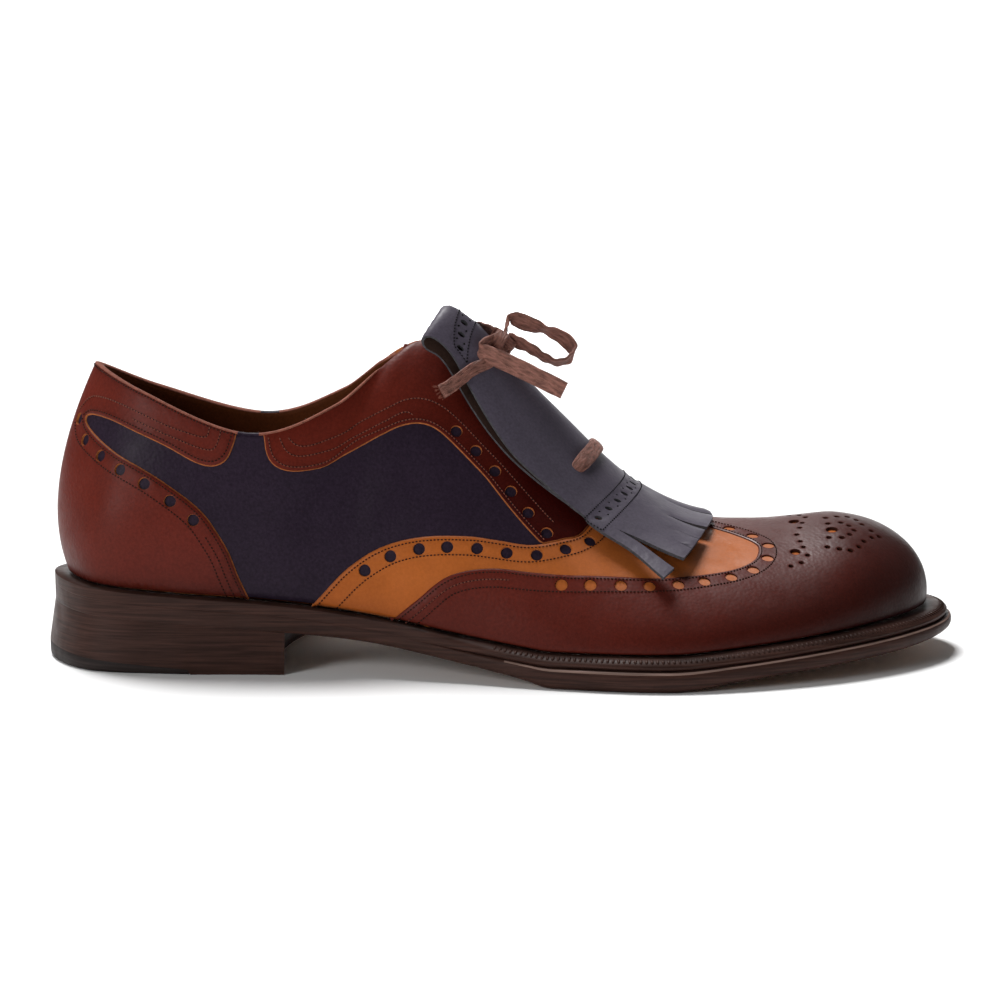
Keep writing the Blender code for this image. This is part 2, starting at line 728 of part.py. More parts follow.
def counter_ring():
    """Counter and collar bands around the heel, in the rear chart."""
    front = smooth_line([(row.station, row.rise) for row in COUNTER_FRONT], EDGE_PIECES)
    band = smooth_line([(row.station, row.rise) for row in COLLAR_LOW], EDGE_PIECES)
    near = front + band
    far = [np.array((AROUND - spot[0], spot[1])) for spot in reversed(near)]
    ring = near + even_line(near[-1], far[0], COLLAR_PIECES)[1:] + far
    ring += even_line(far[-1], near[0], HEEL_PIECES)[1:]
    return ring


def panel(name, ring, mapping, thickness, surface):
    """Leather panel on the upper: its own skin, cut to a ring."""
    sheet = skin(name, GAP, surface, PANEL_LOW)
    thicken(sheet, thickness, 1)
    cut(sheet, cutter_sheet(name + "_cutter", ring, mapping, surface), "INTERSECT")
    return sheet


def toe_wing(surface):
    """Toe panel with its wings: the skin ahead of a slanted plane, less what lies behind the wing's edge."""
    sheet = skin("toe_wing", GAP, surface, PANEL_LOW)
    thicken(sheet, WING_THICKNESS, 1)
    points = []
    for y in (-BLOCK_SIDE, BLOCK_SIDE):
        points += [(WING_LIMIT_LOW, y, 0), (BLOCK_FRONT, y, 0), (BLOCK_FRONT, y, BLOCK_TOP),
                   (WING_LIMIT_HIGH, y, BLOCK_TOP)]
    faces = [(0, 1, 2, 3), (7, 6, 5, 4), (0, 4, 5, 1), (1, 5, 6, 2), (2, 6, 7, 3), (3, 7, 4, 0)]
    cut(sheet, hide(add_object("toe_wing_block", points, faces, surface)), "INTERSECT")
    cut(sheet, cutter_sheet("toe_wing_cutter", behind_wing_ring(), front_point, surface), "DIFFERENCE")
    return sheet


def crest(x):
    """Crest point and its normal in the side view, at a place along the foot."""
    rows = SECTIONS[TOE_POLE:FACING_TOP + 1][::-1]
    xs = [row.top_x for row in rows]

    def height(at):
        return monotone(xs, [row.lateral_top for row in rows], at)

    slope = (height(x + ARCH_PROBE) - height(x - ARCH_PROBE)) / (2 * ARCH_PROBE)
    normal = np.array([-slope, 0, 1]) / math.hypot(slope, 1)
    aside = monotone(xs, [row.top_y for row in rows], x)
    return np.array([x, aside, height(x)]), normal


def closed_skin():
    """Tree of the upper's outside with the throat closed, to lay the flap and lace on."""
    points = []
    faces = []
    row = RISE_STEPS * 2 + 1
    stations = np.arange(-ARCH_STATIONS, ARCH_STATIONS + ARCH_STATION_STEP, ARCH_STATION_STEP)
    for station in stations:
        points += [Vector(outer(float(station), step / (row - 1))) for step in range(row)]
    for index in range(len(stations) - 1):
        for step in range(row - 1):
            faces.append((index * row + step, index * row + row + step,
                          index * row + row + step + 1, index * row + step + 1))
    return BVHTree.FromPolygons(points, faces)


def arch(tree, x):
    """Drop of the upper below its crest across the foot, as lists of arc length, offset and drop."""
    spot, normal = crest(x)
    sides = []
    for way in (-1, 1):
        rows = []
        for step in range(ARCH_STEPS):
            offset = way * (ARCH_STEP * step + ARCH_START)
            start = Vector(spot + ARCH_HEIGHT * normal + np.array([0, offset, 0]))
            hit = tree.ray_cast(start, Vector(-normal), ARCH_DEPTH)
            if hit[0] is None:
                break
            drop = hit[3] - ARCH_HEIGHT
            if rows and drop - rows[-1][2] > ARCH_STEEPEST:
                break
            length = rows[-1][0] + math.hypot(ARCH_STEP, drop - rows[-1][2]) if rows else ARCH_START
            rows.append((length, offset, drop))
        sides.append(rows)
    return sides


def over_arch(sides, reach):
    """Offset and drop at a signed arc length from the crest; negative is lateral."""
    rows = sides[0] if reach < 0 else sides[1]
    lengths = [row[0] for row in rows]
    length = abs(reach)
    offset = np.interp(length, lengths, [row[1] for row in rows])
    drop = np.interp(length, lengths, [row[2] for row in rows])
    over = max(0.0, length - lengths[-1])
    run = np.array(rows[-1][1:]) - np.array(rows[-2][1:])
    run = run / np.linalg.norm(run)
    return np.array([offset + over * run[0], drop + over * run[1]])


def flap_point(sides, row, reach, above=0.0):
    """Point over the arch at one fold row: first lifted square to the upper, then along the crest's normal."""
    spot, normal = crest(row.crest_x)
    along = np.array([-normal[2], 0, normal[0]])
    offset, drop = over_arch(sides, reach)
    run = over_arch(sides, reach + ARCH_PROBE) - over_arch(sides, reach - ARCH_PROBE)
    square = np.array([0, run[1], 0]) + normal * run[0]
    square = square / np.linalg.norm(square)
    close = min(row.lift, FLAP_CLEARANCE)
    base = spot + along * row.past - normal * drop + np.array([0, offset, 0])
    return base + square * (close + above) + normal * (row.lift - close)


def flap(tree, surface):
    """Folded flap with fringe strips cut at its front."""
    cuts = []
    for strip in range(STRIPS):
        start, end = -1 + 2 * strip / STRIPS, -1 + 2 * (strip + 1) / STRIPS
        gap_share = SLIT_WIDTH / (2 * FLAP[-1].half)
        left = start + (gap_share if strip else 0)
        right = end - (gap_share if strip < STRIPS - 1 else 0)
        for step in range(FLAP_STEPS_PER_STRIP + 1):
            cuts.append(left + (right - left) * step / FLAP_STEPS_PER_STRIP)
    columns = len(cuts)
    points = []
    for row in FLAP:
        for share in cuts:
            swept = row._replace(crest_x=row.crest_x - row.sweep * share ** 2)
            reach = row.half * (share * (1 - FLAP_SHIFT) - FLAP_SHIFT)
            points.append(flap_point(arch(tree, swept.crest_x), swept, reach))
    faces = []
    per_strip = FLAP_STEPS_PER_STRIP + 1
    for index in range(len(FLAP) - 1):
        for column in range(columns - 1):
            slit = column % per_strip == per_strip - 1
            if slit and index >= FRINGE_START:
                continue
            faces.append((index * columns + column, index * columns + column + 1,
                          (index + 1) * columns + column + 1, (index + 1) * columns + column))
    made = add_object("kiltie", points, faces, surface)
    thicken(made, FLAP_THICKNESS, 0)
    return made


def tongue(tree, surface):
    """Tongue sheet under the throat, following the crest from inside."""
    lift = -(UPPER_WALL + 4 * GAP + TONGUE_THICKNESS / 2)
    shares = [2 * step / TONGUE_STEPS - 1 for step in range(TONGUE_STEPS + 1)]
    points = []
    rows = [Fold(x, 0, lift, TONGUE_REACH, 0) for x in TONGUE_PLACES]
    rows.append(Fold(TONGUE_PLACES[-1], TONGUE_EXTRA, lift - TONGUE_DIP, TONGUE_REACH * TONGUE_TOP_SHARE, 0))
    for row in rows:
        sides = arch(tree, row.crest_x)
        points += [flap_point(sides, row, share * row.half) for share in shares]
    count = len(shares)
    faces = []
    for index in range(len(rows) - 1):
        for step in range(count - 1):
            faces.append((index * count + step, index * count + step + 1,
                          index * count + count + step + 1, index * count + count + step))
    made = add_object("tongue", points, faces, surface)
    thicken(made, TONGUE_THICKNESS, 0)
    return made


def over_flap(tree, crest_x, reach, above):
    """Point above the flap's outer layer."""
    rows = FLAP[FOLD_END:]
    lift = monotone([row.crest_x for row in rows], [row.lift for row in rows], crest_x)
    return flap_point(arch(tree, crest_x), Fold(crest_x, 0, lift, 0, 0), reach, FLAP_THICKNESS / 2 + above)


def crest_run(crest_x):
    """Direction down the crest toward the toe."""
    normal = crest(crest_x)[1]
    return np.array([normal[2], 0, -normal[0]])


def bar(name, tree, place_on, surface):
    """Lace bar laid across the flap's outer layer."""
    spine = []
    for step in range(BAR_STEPS + 1):
        reach = place_on.reach * (2 * step / BAR_STEPS - 1)
        spine.append(over_flap(tree, place_on.crest_x, reach, place_on.lift))
    return ribbon(name, spine, [crest_run(place_on.crest_x)] * len(spine), surface)


def ribbon(name, spine, widths, surface):
    """Flat cord with a square section along a spine; widths give the ribbon's own cross direction."""
    rings = []
    for index, spot in enumerate(spine):
        way = np.array(spine[min(index + 1, len(spine) - 1)]) - np.array(spine[max(index - 1, 0)])
        way = way / np.linalg.norm(way)
        wide = np.array(widths[index], float)
        wide = wide - way * (wide @ way)
        wide = wide / np.linalg.norm(wide)
        thick = np.cross(way, wide) * LACE_THICKNESS / 2
        wide = wide * LACE_WIDTH / 2
        rings.append([spot - wide - thick, spot + wide - thick, spot + wide + thick, spot - wide + thick])
    return capped(name, rings, surface, both=True)


def bow_ribbon(name, table, surface):
    """Free piece of the bow from its table; roll turns the ribbon about its run from flat to upright."""
    rows = smooth_line([(row.x, row.y, row.z, row.roll) for row in table], BOW_PIECES)
    spine = [row[:3] for row in rows]
    widths = []
    for row in rows:
        roll = math.radians(row[3])
        widths.append(np.array([RIBBON_LEAN, -math.cos(roll), math.sin(roll)]))
    return ribbon(name, spine, widths, surface)


def knot(tree, surface):
    """Knot of the bow as one rounded lump on the upper bar."""
    above = UPPER_BAR.lift + LACE_THICKNESS / 2 + GAP + KNOT_SIZE[2]
    centre = over_flap(tree, UPPER_BAR.crest_x, 0, above)
    along = crest_run(UPPER_BAR.crest_x)
    axes = [along * KNOT_SIZE[0], np.array([0, KNOT_SIZE[1], 0]), crest(UPPER_BAR.crest_x)[1] * KNOT_SIZE[2]]
    form = bmesh.new()
    bmesh.ops.create_icosphere(form, subdivisions=2, radius=1.0)
    points = [centre + np.array(vertex.co) @ np.array(axes) for vertex in form.verts]
    faces = [tuple(vertex.index for vertex in face.verts) for face in form.faces]
    form.free()
    return add_object("lace_knot", points, faces, surface)


def build():
    """Build every solid of the shoe."""
    clear_scene()
    made = {name: material(name, row) for name, row in FINISHES.items()}
    brown, navy, sole = made["brown leather"], made["navy leather"], made["sole leather"]
    thicken(skin("upper", 0, navy, UPPER_LOW), UPPER_WALL, -1)
    outsole(sole)
    welt(sole)
    insole(made["lining leather"])
    heel(sole, made["heel rubber"])
    toe_wing(brown)
    panel("vamp", vamp_ring(), front_point, VAMP_THICKNESS, made["tan leather"])
    panel("facing_lateral", facing_ring(-1), rear_point, FACING_THICKNESS, brown)
    panel("facing_medial", facing_ring(1), rear_point, FACING_THICKNESS, brown)
    panel("counter", counter_ring(), rear_point, COUNTER_THICKNESS, brown)
    tree = closed_skin()
    tongue(tree, brown)
    flap(tree, navy)
    cord = made["lace cord"]
    bar("lace_bar_lower", tree, LOWER_BAR, cord)
    bar("lace_bar_upper", tree, UPPER_BAR, cord)
    knot(tree, cord)
    bow_ribbon("lace_loop", LACE_LOOP, cord)
    bow_ribbon("lace_end_front", LACE_END_FRONT, cord)
    bow_ribbon("lace_end_back", LACE_END_BACK, cord)


build()
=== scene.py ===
"""Right oxford shoe with a folded fringe flap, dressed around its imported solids."""
import math
from collections import namedtuple

import bmesh
import bpy
import numpy as np
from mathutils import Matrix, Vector
from mathutils.bvhtree import BVHTree
from mathutils.geometry import delaunay_2d_cdt
from mathutils.kdtree import KDTree


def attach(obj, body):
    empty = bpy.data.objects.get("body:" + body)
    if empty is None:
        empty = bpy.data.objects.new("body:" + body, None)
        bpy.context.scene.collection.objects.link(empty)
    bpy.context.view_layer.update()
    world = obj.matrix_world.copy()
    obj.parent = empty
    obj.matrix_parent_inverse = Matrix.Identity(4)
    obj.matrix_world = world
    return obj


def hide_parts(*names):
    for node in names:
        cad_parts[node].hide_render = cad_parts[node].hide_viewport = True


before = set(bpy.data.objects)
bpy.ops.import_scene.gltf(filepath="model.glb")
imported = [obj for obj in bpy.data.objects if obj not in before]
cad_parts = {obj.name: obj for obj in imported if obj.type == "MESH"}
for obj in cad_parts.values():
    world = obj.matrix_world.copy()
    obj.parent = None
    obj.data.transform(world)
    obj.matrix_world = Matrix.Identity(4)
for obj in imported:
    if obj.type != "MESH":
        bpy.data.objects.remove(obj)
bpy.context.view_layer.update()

bl_info = {
    "name": "Fringed oxford shoe",
    "version": (1, 0, 0),
    "blender": (4, 5, 0),
    "location": "View3D > Sidebar > Shoe",
    "description": "Dresses a right oxford shoe with punched panels, stitches, a fringe flap and a lace",
    "category": "Object",
}


def table(kind, *rows):
    """Rows of a table with named columns."""
    return [kind(*row) for row in rows]


# Millimetres: x from the heel end to the toe, y to the medial side, z up from the floor
MM = 0.001
CENTRE = np.array([152.14, -7.4, 0.0])
GAP = 0.3
INSIDE_GAP = 4 * GAP
WELD = 0.02
TINY = 1e-9
HAIR = 1e-8
SLIVER = 1e-7
PLAN_SLIVER = 1e-6

# Upper by sections from the toe tip to the heel back: feather line, crest or collar, and wall shape
Section = namedtuple("Section", "name lateral_x lateral_y medial_x medial_y top_x top_y half_open "
                     "lateral_top medial_top bulge rise crown flare drop tilt ledge")
SECTIONS = table(Section,
    ("toe tip", 295, 7, 295, 7, 258, 10, 0, 44.7, 44.7, 2.5, 17, 0.65, 0, 0, 0.05, 8.5),
    ("toe corner", 288, -11, 290, 21, 258, 10, 0, 44.7, 44.7, 2.5, 16, 0.66, 0, 0, 0.06, 8),
    ("toe side", 269, -29.5, 276, 32, 258, 10, 0, 44.7, 44.7, 2, 15, 0.64, 0, 0, 0.08, 7),
    ("toe root", 242, -45, 252, 38.5, 233, 12, 0, 42.3, 42.3, 2, 14, 0.56, 0, 0, 0.09, 6),
    ("ball", 205, -55, 222, 40, 212, 10, 0, 45.4, 45.4, 1.5, 15, 0.48, 0, 0, 0.09, 6),
    ("vamp", 170, -51.5, 186, 35.5, 188, 6, 0, 58.6, 58.6, 0.5, 18, 0.45, 0, 0, 0.06, 5),
    ("instep", 137, -42, 149, 28, 160, 2, 0, 83, 83, 0, 24, 0.4, 0, 0, 0.02, 3.5),
    ("facing top", 106, -34, 113, 25.5, 128, 0, 0, 105, 105, 0, 32, 0.37, 0, 3, 0, 2.5),
    ("quarter", 75, -31, 79, 28.5, 99, 0, 21, 84.5, 86.5, 2, 24, 0, 6, 24, 0, 3),
    ("ankle", 46, -30.5, 47, 30.5, 71, 0, 28, 76, 77.4, 3.5, 20, 0, 3, 22, 0, 3),
    ("heel corner", 20, -24.5, 21, 24.5, 36, 0, 20, 89, 87.4, 5, 18, 0, 9, 28, 0, 3.5),
    ("heel back", 7.5, 0, 7.5, 0, 18, 0, 0, 96.9, 96.9, 6.5, 16, 0, 15, 31, 0, 4.5))
TOE_POLE = 2
MEDIAL_FULLNESS = 1.15
FACING_TOP = 7
THROAT_END = 5
LAST = len(SECTIONS) - 1
AROUND = 2 * LAST
THROAT_HALF = 4.0
WALL = 2.0
THROAT_FADE = 3

# Sole side profile: underside and welt top above the floor
Station = namedtuple("Station", "x tread seat")
SOLE_PROFILE = table(Station,
    (0, 19.4, 28.2), (40, 16.4, 25), (83, 13, 21.6), (110, 10.4, 18.2), (140, 5.6, 13.4),
    (158, 2.3, 11), (167, 0, 10), (203, 0, 10), (225, 2.6, 11.3), (255, 4.9, 13.4),
    (280, 6.4, 14.8), (304, 8.9, 16))

# Panel edges by station along the sections and rise up the wall
Edge = namedtuple("Edge", "station rise")
WING_LATERAL = table(Edge,
    (6.65, 0), (6.4, 0.09), (6.11, 0.2), (5.73, 0.27), (5.35, 0.313), (4.64, 0.4), (4.24, 0.443),
    (3.83, 0.496), (3.46, 0.541), (3.24, 0.59), (3.12, 0.65), (3.07, 0.74), (3.29, 0.835), (3.6, 0.9),
    (4.15, 1))
WING_MEDIAL = table(Edge,
    (4.27, 0.8), (4.42, 0.62), (4.68, 0.48), (5, 0.405), (5.35, 0.35), (5.73, 0.295), (6, 0.245),
    (6.3, 0.14), (6.5, 0))
VAMP_BACK = table(Edge,
    (7.48, 0), (7.22, 0.107), (7.03, 0.16), (6.79, 0.21), (6.32, 0.29), (6.01, 0.334), (5.71, 0.365),
    (5.4, 0.405), (5.12, 0.485), (4.96, 0.55), (4.85, 0.75), (4.83, 1))
FACING_LOW = table(Edge,
    (8.82, 1), (8.79, 0.92), (8.74, 0.868), (8.6, 0.812), (8.4, 0.77), (8.07, 0.717), (7.84, 0.661),
    (7.74, 0.625), (7.62, 0.58), (7.52, 0.549), (7.43, 0.525), (7.24, 0.501), (7.08, 0.501), (6.86, 0.53),
    (6.7, 0.556), (6.5, 0.572), (6.06, 0.542), (5.79, 0.5), (5.57, 0.466), (5.32, 0.43))
FACING_ARM = table(Edge,
    (8.65, 0.972), (8.61, 0.928), (8.54, 0.884), (8.4, 0.844), (8.21, 0.82), (7.91, 0.768), (7.76, 0.708),
    (7.59, 0.636), (7.43, 0.58), (7.32, 0.555), (7.14, 0.538), (6.99, 0.546), (6.83, 0.576), (6.78, 0.585),
    (6.75, 0.57))
FACING_LONG = table(Edge,
    (8.55, 0.96), (8.51, 0.928), (8.42, 0.896), (8.27, 0.876), (8.03, 0.852), (7.93, 0.838), (7.8, 0.798),
    (7.61, 0.712), (7.41, 0.63), (7.19, 0.586), (7.03, 0.586), (6.76, 0.625), (6.51, 0.642), (6.17, 0.624),
    (5.72, 0.576), (5.26, 0.52))
COUNTER_FRONT = table(Edge,
    (8.14, 0), (8.24, 0.084), (8.48, 0.254), (8.87, 0.44), (9.2, 0.573), (9.5, 0.656), (9.76, 0.7),
    (10.1, 0.733), (10.5, 0.787))
COUNTER_TIP = Edge(10.6, 0.818)
COLLAR_LOW = table(Edge,
    (10.52, 0.842), (10.25, 0.856), (9.94, 0.85), (9.63, 0.839), (9.37, 0.811), (9.24, 0.815),
    (9.16, 0.855), (9.13, 0.93), (9.11, 1))
VAMP_SKEW = 0.15
SKEW_SLOPE = 4
FACING_SOFT = 9
FACING_JOINT = 0.02
FACING_JOINT_TOP = 0.8
FACING_THROAT = 0.15
COLLAR_START = 9.11
COLLAR_COUNT = 240
THROAT_COUNT = 120
PANEL_LOW = 0.012
WING_UNDERLAP = 9.0

# Steps along chart lines, and the flat chart of the upper: its plan view with the walls folded outward
LINE_STEP = 1.0
TIP_STEP = 0.7
RING_STEP = 1.2
HOLE_STEP = 0.5
CHART_SPREAD = 0.8
GROUND_STEPS = 16
GROUND_RISES = 56
PROBE = 0.4
ON_GROUND = 0.01
FEATHER_COUNT = 1200
FEATHER_STEPS = 22

# Soft creases: chart place by station and rise, reach along and across in mm, turn, and depth
Crease = namedtuple("Crease", "station rise long wide turn depth")
CREASES = table(Crease,
    (7.2, 0.4, 14, 3.5, 70, 0.35),
    (6.9, 0.33, 12, 3, 60, -0.3),
    (7.9, 0.5, 16, 4, 100, 0.3),
    (6.2, 0.42, 12, 3, 40, 0.3),
    (9, 0.72, 10, 3, 20, -0.3),
    (4.9, 0.3, 14, 3.5, 110, 0.2),
    (-6.8, 0.4, 14, 3.5, 110, 0.35),
    (-7.6, 0.5, 16, 4, 80, 0.3))

# Panel heights over the quarters
QUARTER_SINK = 1.1
VAMP_LIFT = 0.6
FACING_LIFT = 0.7
COUNTER_LIFT = 0.8
WING_LIFT = 1.05
PANEL_SINK = 0.5
EDGE_DROP = 0.25
EDGE_BAND = 0.5
EDGE_SLANT = 0.6
HOLE_SLANT = 0.3
HOLE_DROP = 0.06
PANEL_SPACING = 1.5
FIELD_ROOM = 0.72
PANEL_SHARP = 50
ROUND_SHARP = 60

# Punched holes: first and last hole of a row as station and rise, and pitch
HOLE_SIDES = 16
HOLE_INSET = 3.5
Punched = namedtuple("Punched", "first last pitch")
WING_HOLES = Punched((5.07, 0.307), (5.07, 0.307), 9.05)
VAMP_HOLES = Punched((6.95, 0.134), (6.95, 0.134), 9.4)
FACING_HOLES = Punched((6.33, 0.596), (5.30, 0.479), 9.4)
COUNTER_HOLES = Punched((10.62, 0.821), (9.12, 0.493), 9.4)

# Medallion on the toe: places ahead of and aside from its middle, in millimetres, with hole radius
Punch = namedtuple("Punch", "ahead aside radius")
MEDALLION_PLACE = np.array([249.2, -6.1])
MEDALLION_TURN = 4.0
MEDALLION_SKEW = 0.4
MEDALLION_MIDDLE = table(Punch,
    (11.5, 0, 1.9), (-0.1, 0, 0.85), (18.8, 0, 0.85), (27, 0, 0.85))
MEDALLION_PAIRS = table(Punch,
    (-3, 10.9, 1.75), (9.5, 4.6, 0.9), (13.6, 5.1, 0.9), (16.6, 3, 0.85), (7.8, 9.7, 0.9),
    (11.4, 10.9, 0.9), (14.8, 11.4, 0.95), (18.1, 9, 0.85), (20.6, 5.6, 0.85), (24.1, 2.2, 0.85),
    (0, 4.8, 0.8), (0.2, 8.5, 0.8), (0.5, 13.2, 0.85), (-2.3, 16.8, 0.85), (-6.1, 18.4, 0.85))
MEDALLION_NEAR = 40
MEDALLION_UP = 0.3
MEDALLION_SOFT = 0.05
MEDALLION_PASSES = 4

# Burnish, and painted shade on the facings beside the flap: place where it starts, length over which it
# runs, and strength
Burnish = namedtuple("Burnish", "start run strength")
TOE_BURNISH = Burnish(180, 105, 0.85)
TOE_BURNISH_BEND = 1.2
TOE_LOW_BURNISH = Burnish(12, 22, 0.3)
LOW_BURNISH = Burnish(0, 16, 0.35)
RIM_BURNISH = Burnish(0, 4, 0.2)
# Painted shade on the facings, darkening toward the vamp beside the flap
FACING_FLAP_SHADE = Burnish(112, 48, 1.0)

# Quarters and the roll along their collar
QUARTER_STEPS = 10
QUARTER_RISES = 44
QUARTER_MIDDLE = (150, 0, 40)
TOE_BACKING = 228.0
ROLL_COUNT = 300
ROLL_SIDES = 14
ROLL_START = 7.45
ROLL_HEIGHT = 0.5
ROLL_OVER = 0.1
ROLL_TAPER = 8
ROLL_END = 0.15
NAVY_ROLL = 1.25
NAVY_GAP = (8.86, 9.07)

# Sole and heel
WELT_THICKNESS = 3.2
WELT_SEAT = 7.0
INSOLE_THICKNESS = 3.0
HEEL_FRONT = 7.74
HEEL_FLARE = 2.4
HEEL_HOLLOW = 7.0
HEEL_INSET = 0.2
TIP_BACK = 5.6
TIP_FRONT = 1.6
TIP_LENGTH = 52.0
TIP_COUNT = 400
HEEL_COUNT = 150
BREAST_COUNT = 26
HEEL_LEVELS = (0.0, 0.35, 0.7, 1.0)
TipLevel = namedtuple("TipLevel", "share dent")
TIP_LEVELS = table(TipLevel,
    (0, 0.9), (0.06, 0.4), (0.16, 0.1), (0.3, 0), (0.94, 0), (1, 0.12))
InsoleEdge = namedtuple("InsoleEdge", "inset height")
INSOLE_ROUND = table(InsoleEdge,
    (0.6, 0), (0, 1.2), (0.3, 2.4), (1.4, INSOLE_THICKNESS))
INSOLE_STEPS = 8

# Rounded edges of sole and welt: shift from the edge, share of the height, and where the shift fades behind
Profile = namedtuple("Profile", "shift share fade")
WAIST_FADE = 6.3
HEEL_FADE = 8.0
NO_FADE = 99.0
SOLE_ROUND = table(Profile,
    (-1.5, 0, HEEL_FADE), (-0.7, 0.05, HEEL_FADE), (-0.25, 0.14, HEEL_FADE), (0, 0.3, NO_FADE),
    (0, 0.52, NO_FADE), (-0.1, 0.72, WAIST_FADE), (-0.35, 0.87, WAIST_FADE), (-0.8, 0.97, WAIST_FADE),
    (-1.6, 1, WAIST_FADE))
WELT_ROUND = table(Profile,
    (-1.2, 0, WAIST_FADE), (-0.5, 0.06, WAIST_FADE), (-0.1, 0.22, WAIST_FADE), (0, 0.4, NO_FADE),
    (-0.25, 0.52, WAIST_FADE), (-1.5, 0.76, WAIST_FADE), (-3, 0.96, WAIST_FADE), (-4, 1, WAIST_FADE))
# Faces of the outsole's top rounding that take a light colour: a painted highlight along the sole's top
# edge
HIGHLIGHT_LINES = (6, 10)
FADE_LENGTH = 0.8
SOLE_STEPS = 14
WELT_STEP = 1.5
WELT_STEP_RUN = 1.5

# Flap from under leaf to fringe: crest place, run past it, lift, half width and sweep
Fold = namedtuple("Fold", "crest_x past lift half sweep")
FLAP = table(Fold,
    (182, 0, 3.2, 33.4, 0), (165, 0, 3.2, 28.4, 0), (147, 0, 4.6, 21, 0), (134, 0, 6.8, 14.5, 0),
    (131, 2, 7.2, 14, 0), (131, 4.4, 8.2, 14, 0), (131, 5, 9.5, 14, 0), (131, 4, 11, 14, 0),
    (131, 1, 11.6, 14, 0), (136, 0, 10.6, 16, 0), (144, 0, 8.8, 20.2, 0), (154, 0, 7.2, 25, 0),
    (164, 0, 5.6, 29, 0), (177, 0, 4.6, 33, 0), (186, 0, 4, 36, 1), (191, 0, 3.6, 39, 3),
    (206, 0, 3, 46, 7), (222.5, 0, 2.7, 57, 15))
FOLD_END = 9
FLAP_THICKNESS = 1.6
FLAP_CLEARANCE = 3.4
FLAP_SHIFT = 0.08
FLAP_STEP = 1.6
FLAP_CURVE = 12
FLAP_EDGE_DROP = 0.25
FLAP_SHARE_LIMIT = 1.2
FRINGE_STEPS = 24

# Slits of the fringe: shares across the flap at apex and end, crest place of the apex, opening at the end
Slit = namedtuple("Slit", "share end_share apex opening")
SLITS = table(Slit,
    (-0.89, -0.85, 198, 6.4), (-0.67, -0.67, 215, 0.3), (-0.53, -0.53, 213, 0.3), (-0.35, -0.34, 208, 3.4),
    (0.02, 0.02, 206, 1.2), (0.36, 0.36, 206, 1.6), (0.62, 0.62, 212, 0.3), (0.88, 0.86, 198, 4))
FRINGE_START = 147.0
FRINGE_STAND = 4.0
SWEEP_BEND = 1.25

# Punched bands of the flap: length along it at the middle and bow toward the edges, for holes and borders
BandLine = namedtuple("BandLine", "length bow")
Band = namedtuple("Band", "holes upper lower pitch long wide pin_offset ends")
BANDS = [
    Band(BandLine(159.3, 4.6), BandLine(155.5, 4.9), BandLine(162.5, 2.6), 5.9, 1.5, 0.85, 1.7, 0.97),
    Band(BandLine(80.7, -5.5), BandLine(77.7, -5.5), BandLine(84.1, -5.5), 4.1, 1.4, 0.75, 1.5, 0.93),
]
BAND_LAST = 0.95
PIN_RADIUS = 0.4
PIN_SIDES = 8
FLAP_HOLE_SIDES = 14
BORDER_COUNT = 80
BORDER_END_COUNT = 12

# Rays that find the upper's arch under the flap
ARCH_START = 0.1
ARCH_STEP = 1.0
ARCH_STEPS = 62
ARCH_HEIGHT = 12.0
ARCH_DEPTH = 90.0
ARCH_STEEPEST = 3.0
ARCH_LOW = 130
ARCH_HIGH = 232
ARCH_SLACK = 0.1
ARCH_SPAN = 3
ARCH_END = 1.001
CREST_SPAN = 2
NORMAL_SPAN = 0.5

# Tongue under the throat
TONGUE_THICKNESS = 1.8
TONGUE_REACH = 24.0
TONGUE_EXTRA = 7.0
TONGUE_DIP = 1.5
TONGUE_TOP_SHARE = 0.8
TONGUE_PLACES = (192, 180, 168, 156, 144, 134, 128)
TONGUE_CURVE = 6
TONGUE_ACROSS = 31

# Lace: a flat ribbon in two bars over the flap, a knot, a loop and two free ends
LACE_WIDTH = 5.5
LACE_THICKNESS = 1.0
Bar = namedtuple("Bar", "crest_x reach lift slant")
LOWER_BAR = Bar(180.0, 21.8, 1.2, 1.7)
UPPER_BAR = Bar(146.5, 9.0, 1.2, 0.0)
BAR_COUNT = 41
BAR_TAPER = 0.7
BAR_DIVE = 2.6
BAR_NARROW = 0.4
RIBBON_SIDES = 20
RIBBON_CUP = 0.35
CUP_PACE = 2
CUP_LEAN = 0.4
CUP_MIDDLE = 0.5
RIBBON_SQUARE = 0.5
RIBBON_FLAT = 0.6
RIBBON_LEAN = 0.2
CRUMPLE = 7.0
CRUMPLE_PACE = 0.9
Ribbon = namedtuple("Ribbon", "x y z roll width")
LACE_LOOP = table(Ribbon,
    (152, -1.5, 103.5, 60, 4.6), (153.2, 0.5, 107.5, 75, 4.4), (154, 1.5, 110.8, 70, 3),
    (156.2, 2, 110.6, 78, 5), (160.3, 3, 108.9, 80, 5.4), (165.9, 4, 107, 35, 5),
    (171.4, 4, 104.6, 70, 5), (175, 2.5, 101, 80, 5.2), (174.4, 0.5, 98, 55, 5),
    (170, -1.5, 96.6, 30, 4.6), (165.2, -2.5, 98.4, 35, 4.6), (160.6, -3, 101.4, 45, 4.8),
    (156, -2.5, 103.6, 60, 4.8), (153.4, -2.5, 104.7, 65, 4.6))
LACE_END_FRONT = table(Ribbon,
    (150.1, -4, 104.4, 70, 4.6), (146.6, -8, 103.3, 60, 5), (144.6, -10.5, 101.2, 85, 5.4),
    (147.9, -11.8, 99.7, 88, 5.8), (154.3, -13.2, 97, 90, 5.9), (162.4, -14.6, 93.2, 88, 5.9),
    (171.7, -16, 88.6, 85, 5.9))
LACE_END_BACK = table(Ribbon,
    (154.5, -1, 103, -40, 4), (151.6, -6.5, 100.2, -60, 4), (147.2, -11, 97.2, -80, 4),
    (142.4, -15, 95.4, -85, 4.2), (138.5, -18.6, 92.8, -88, 4.4), (134.8, -21.4, 90.2, -85, 4.6),
    (132.4, -22.8, 88.9, -80, 4.8))
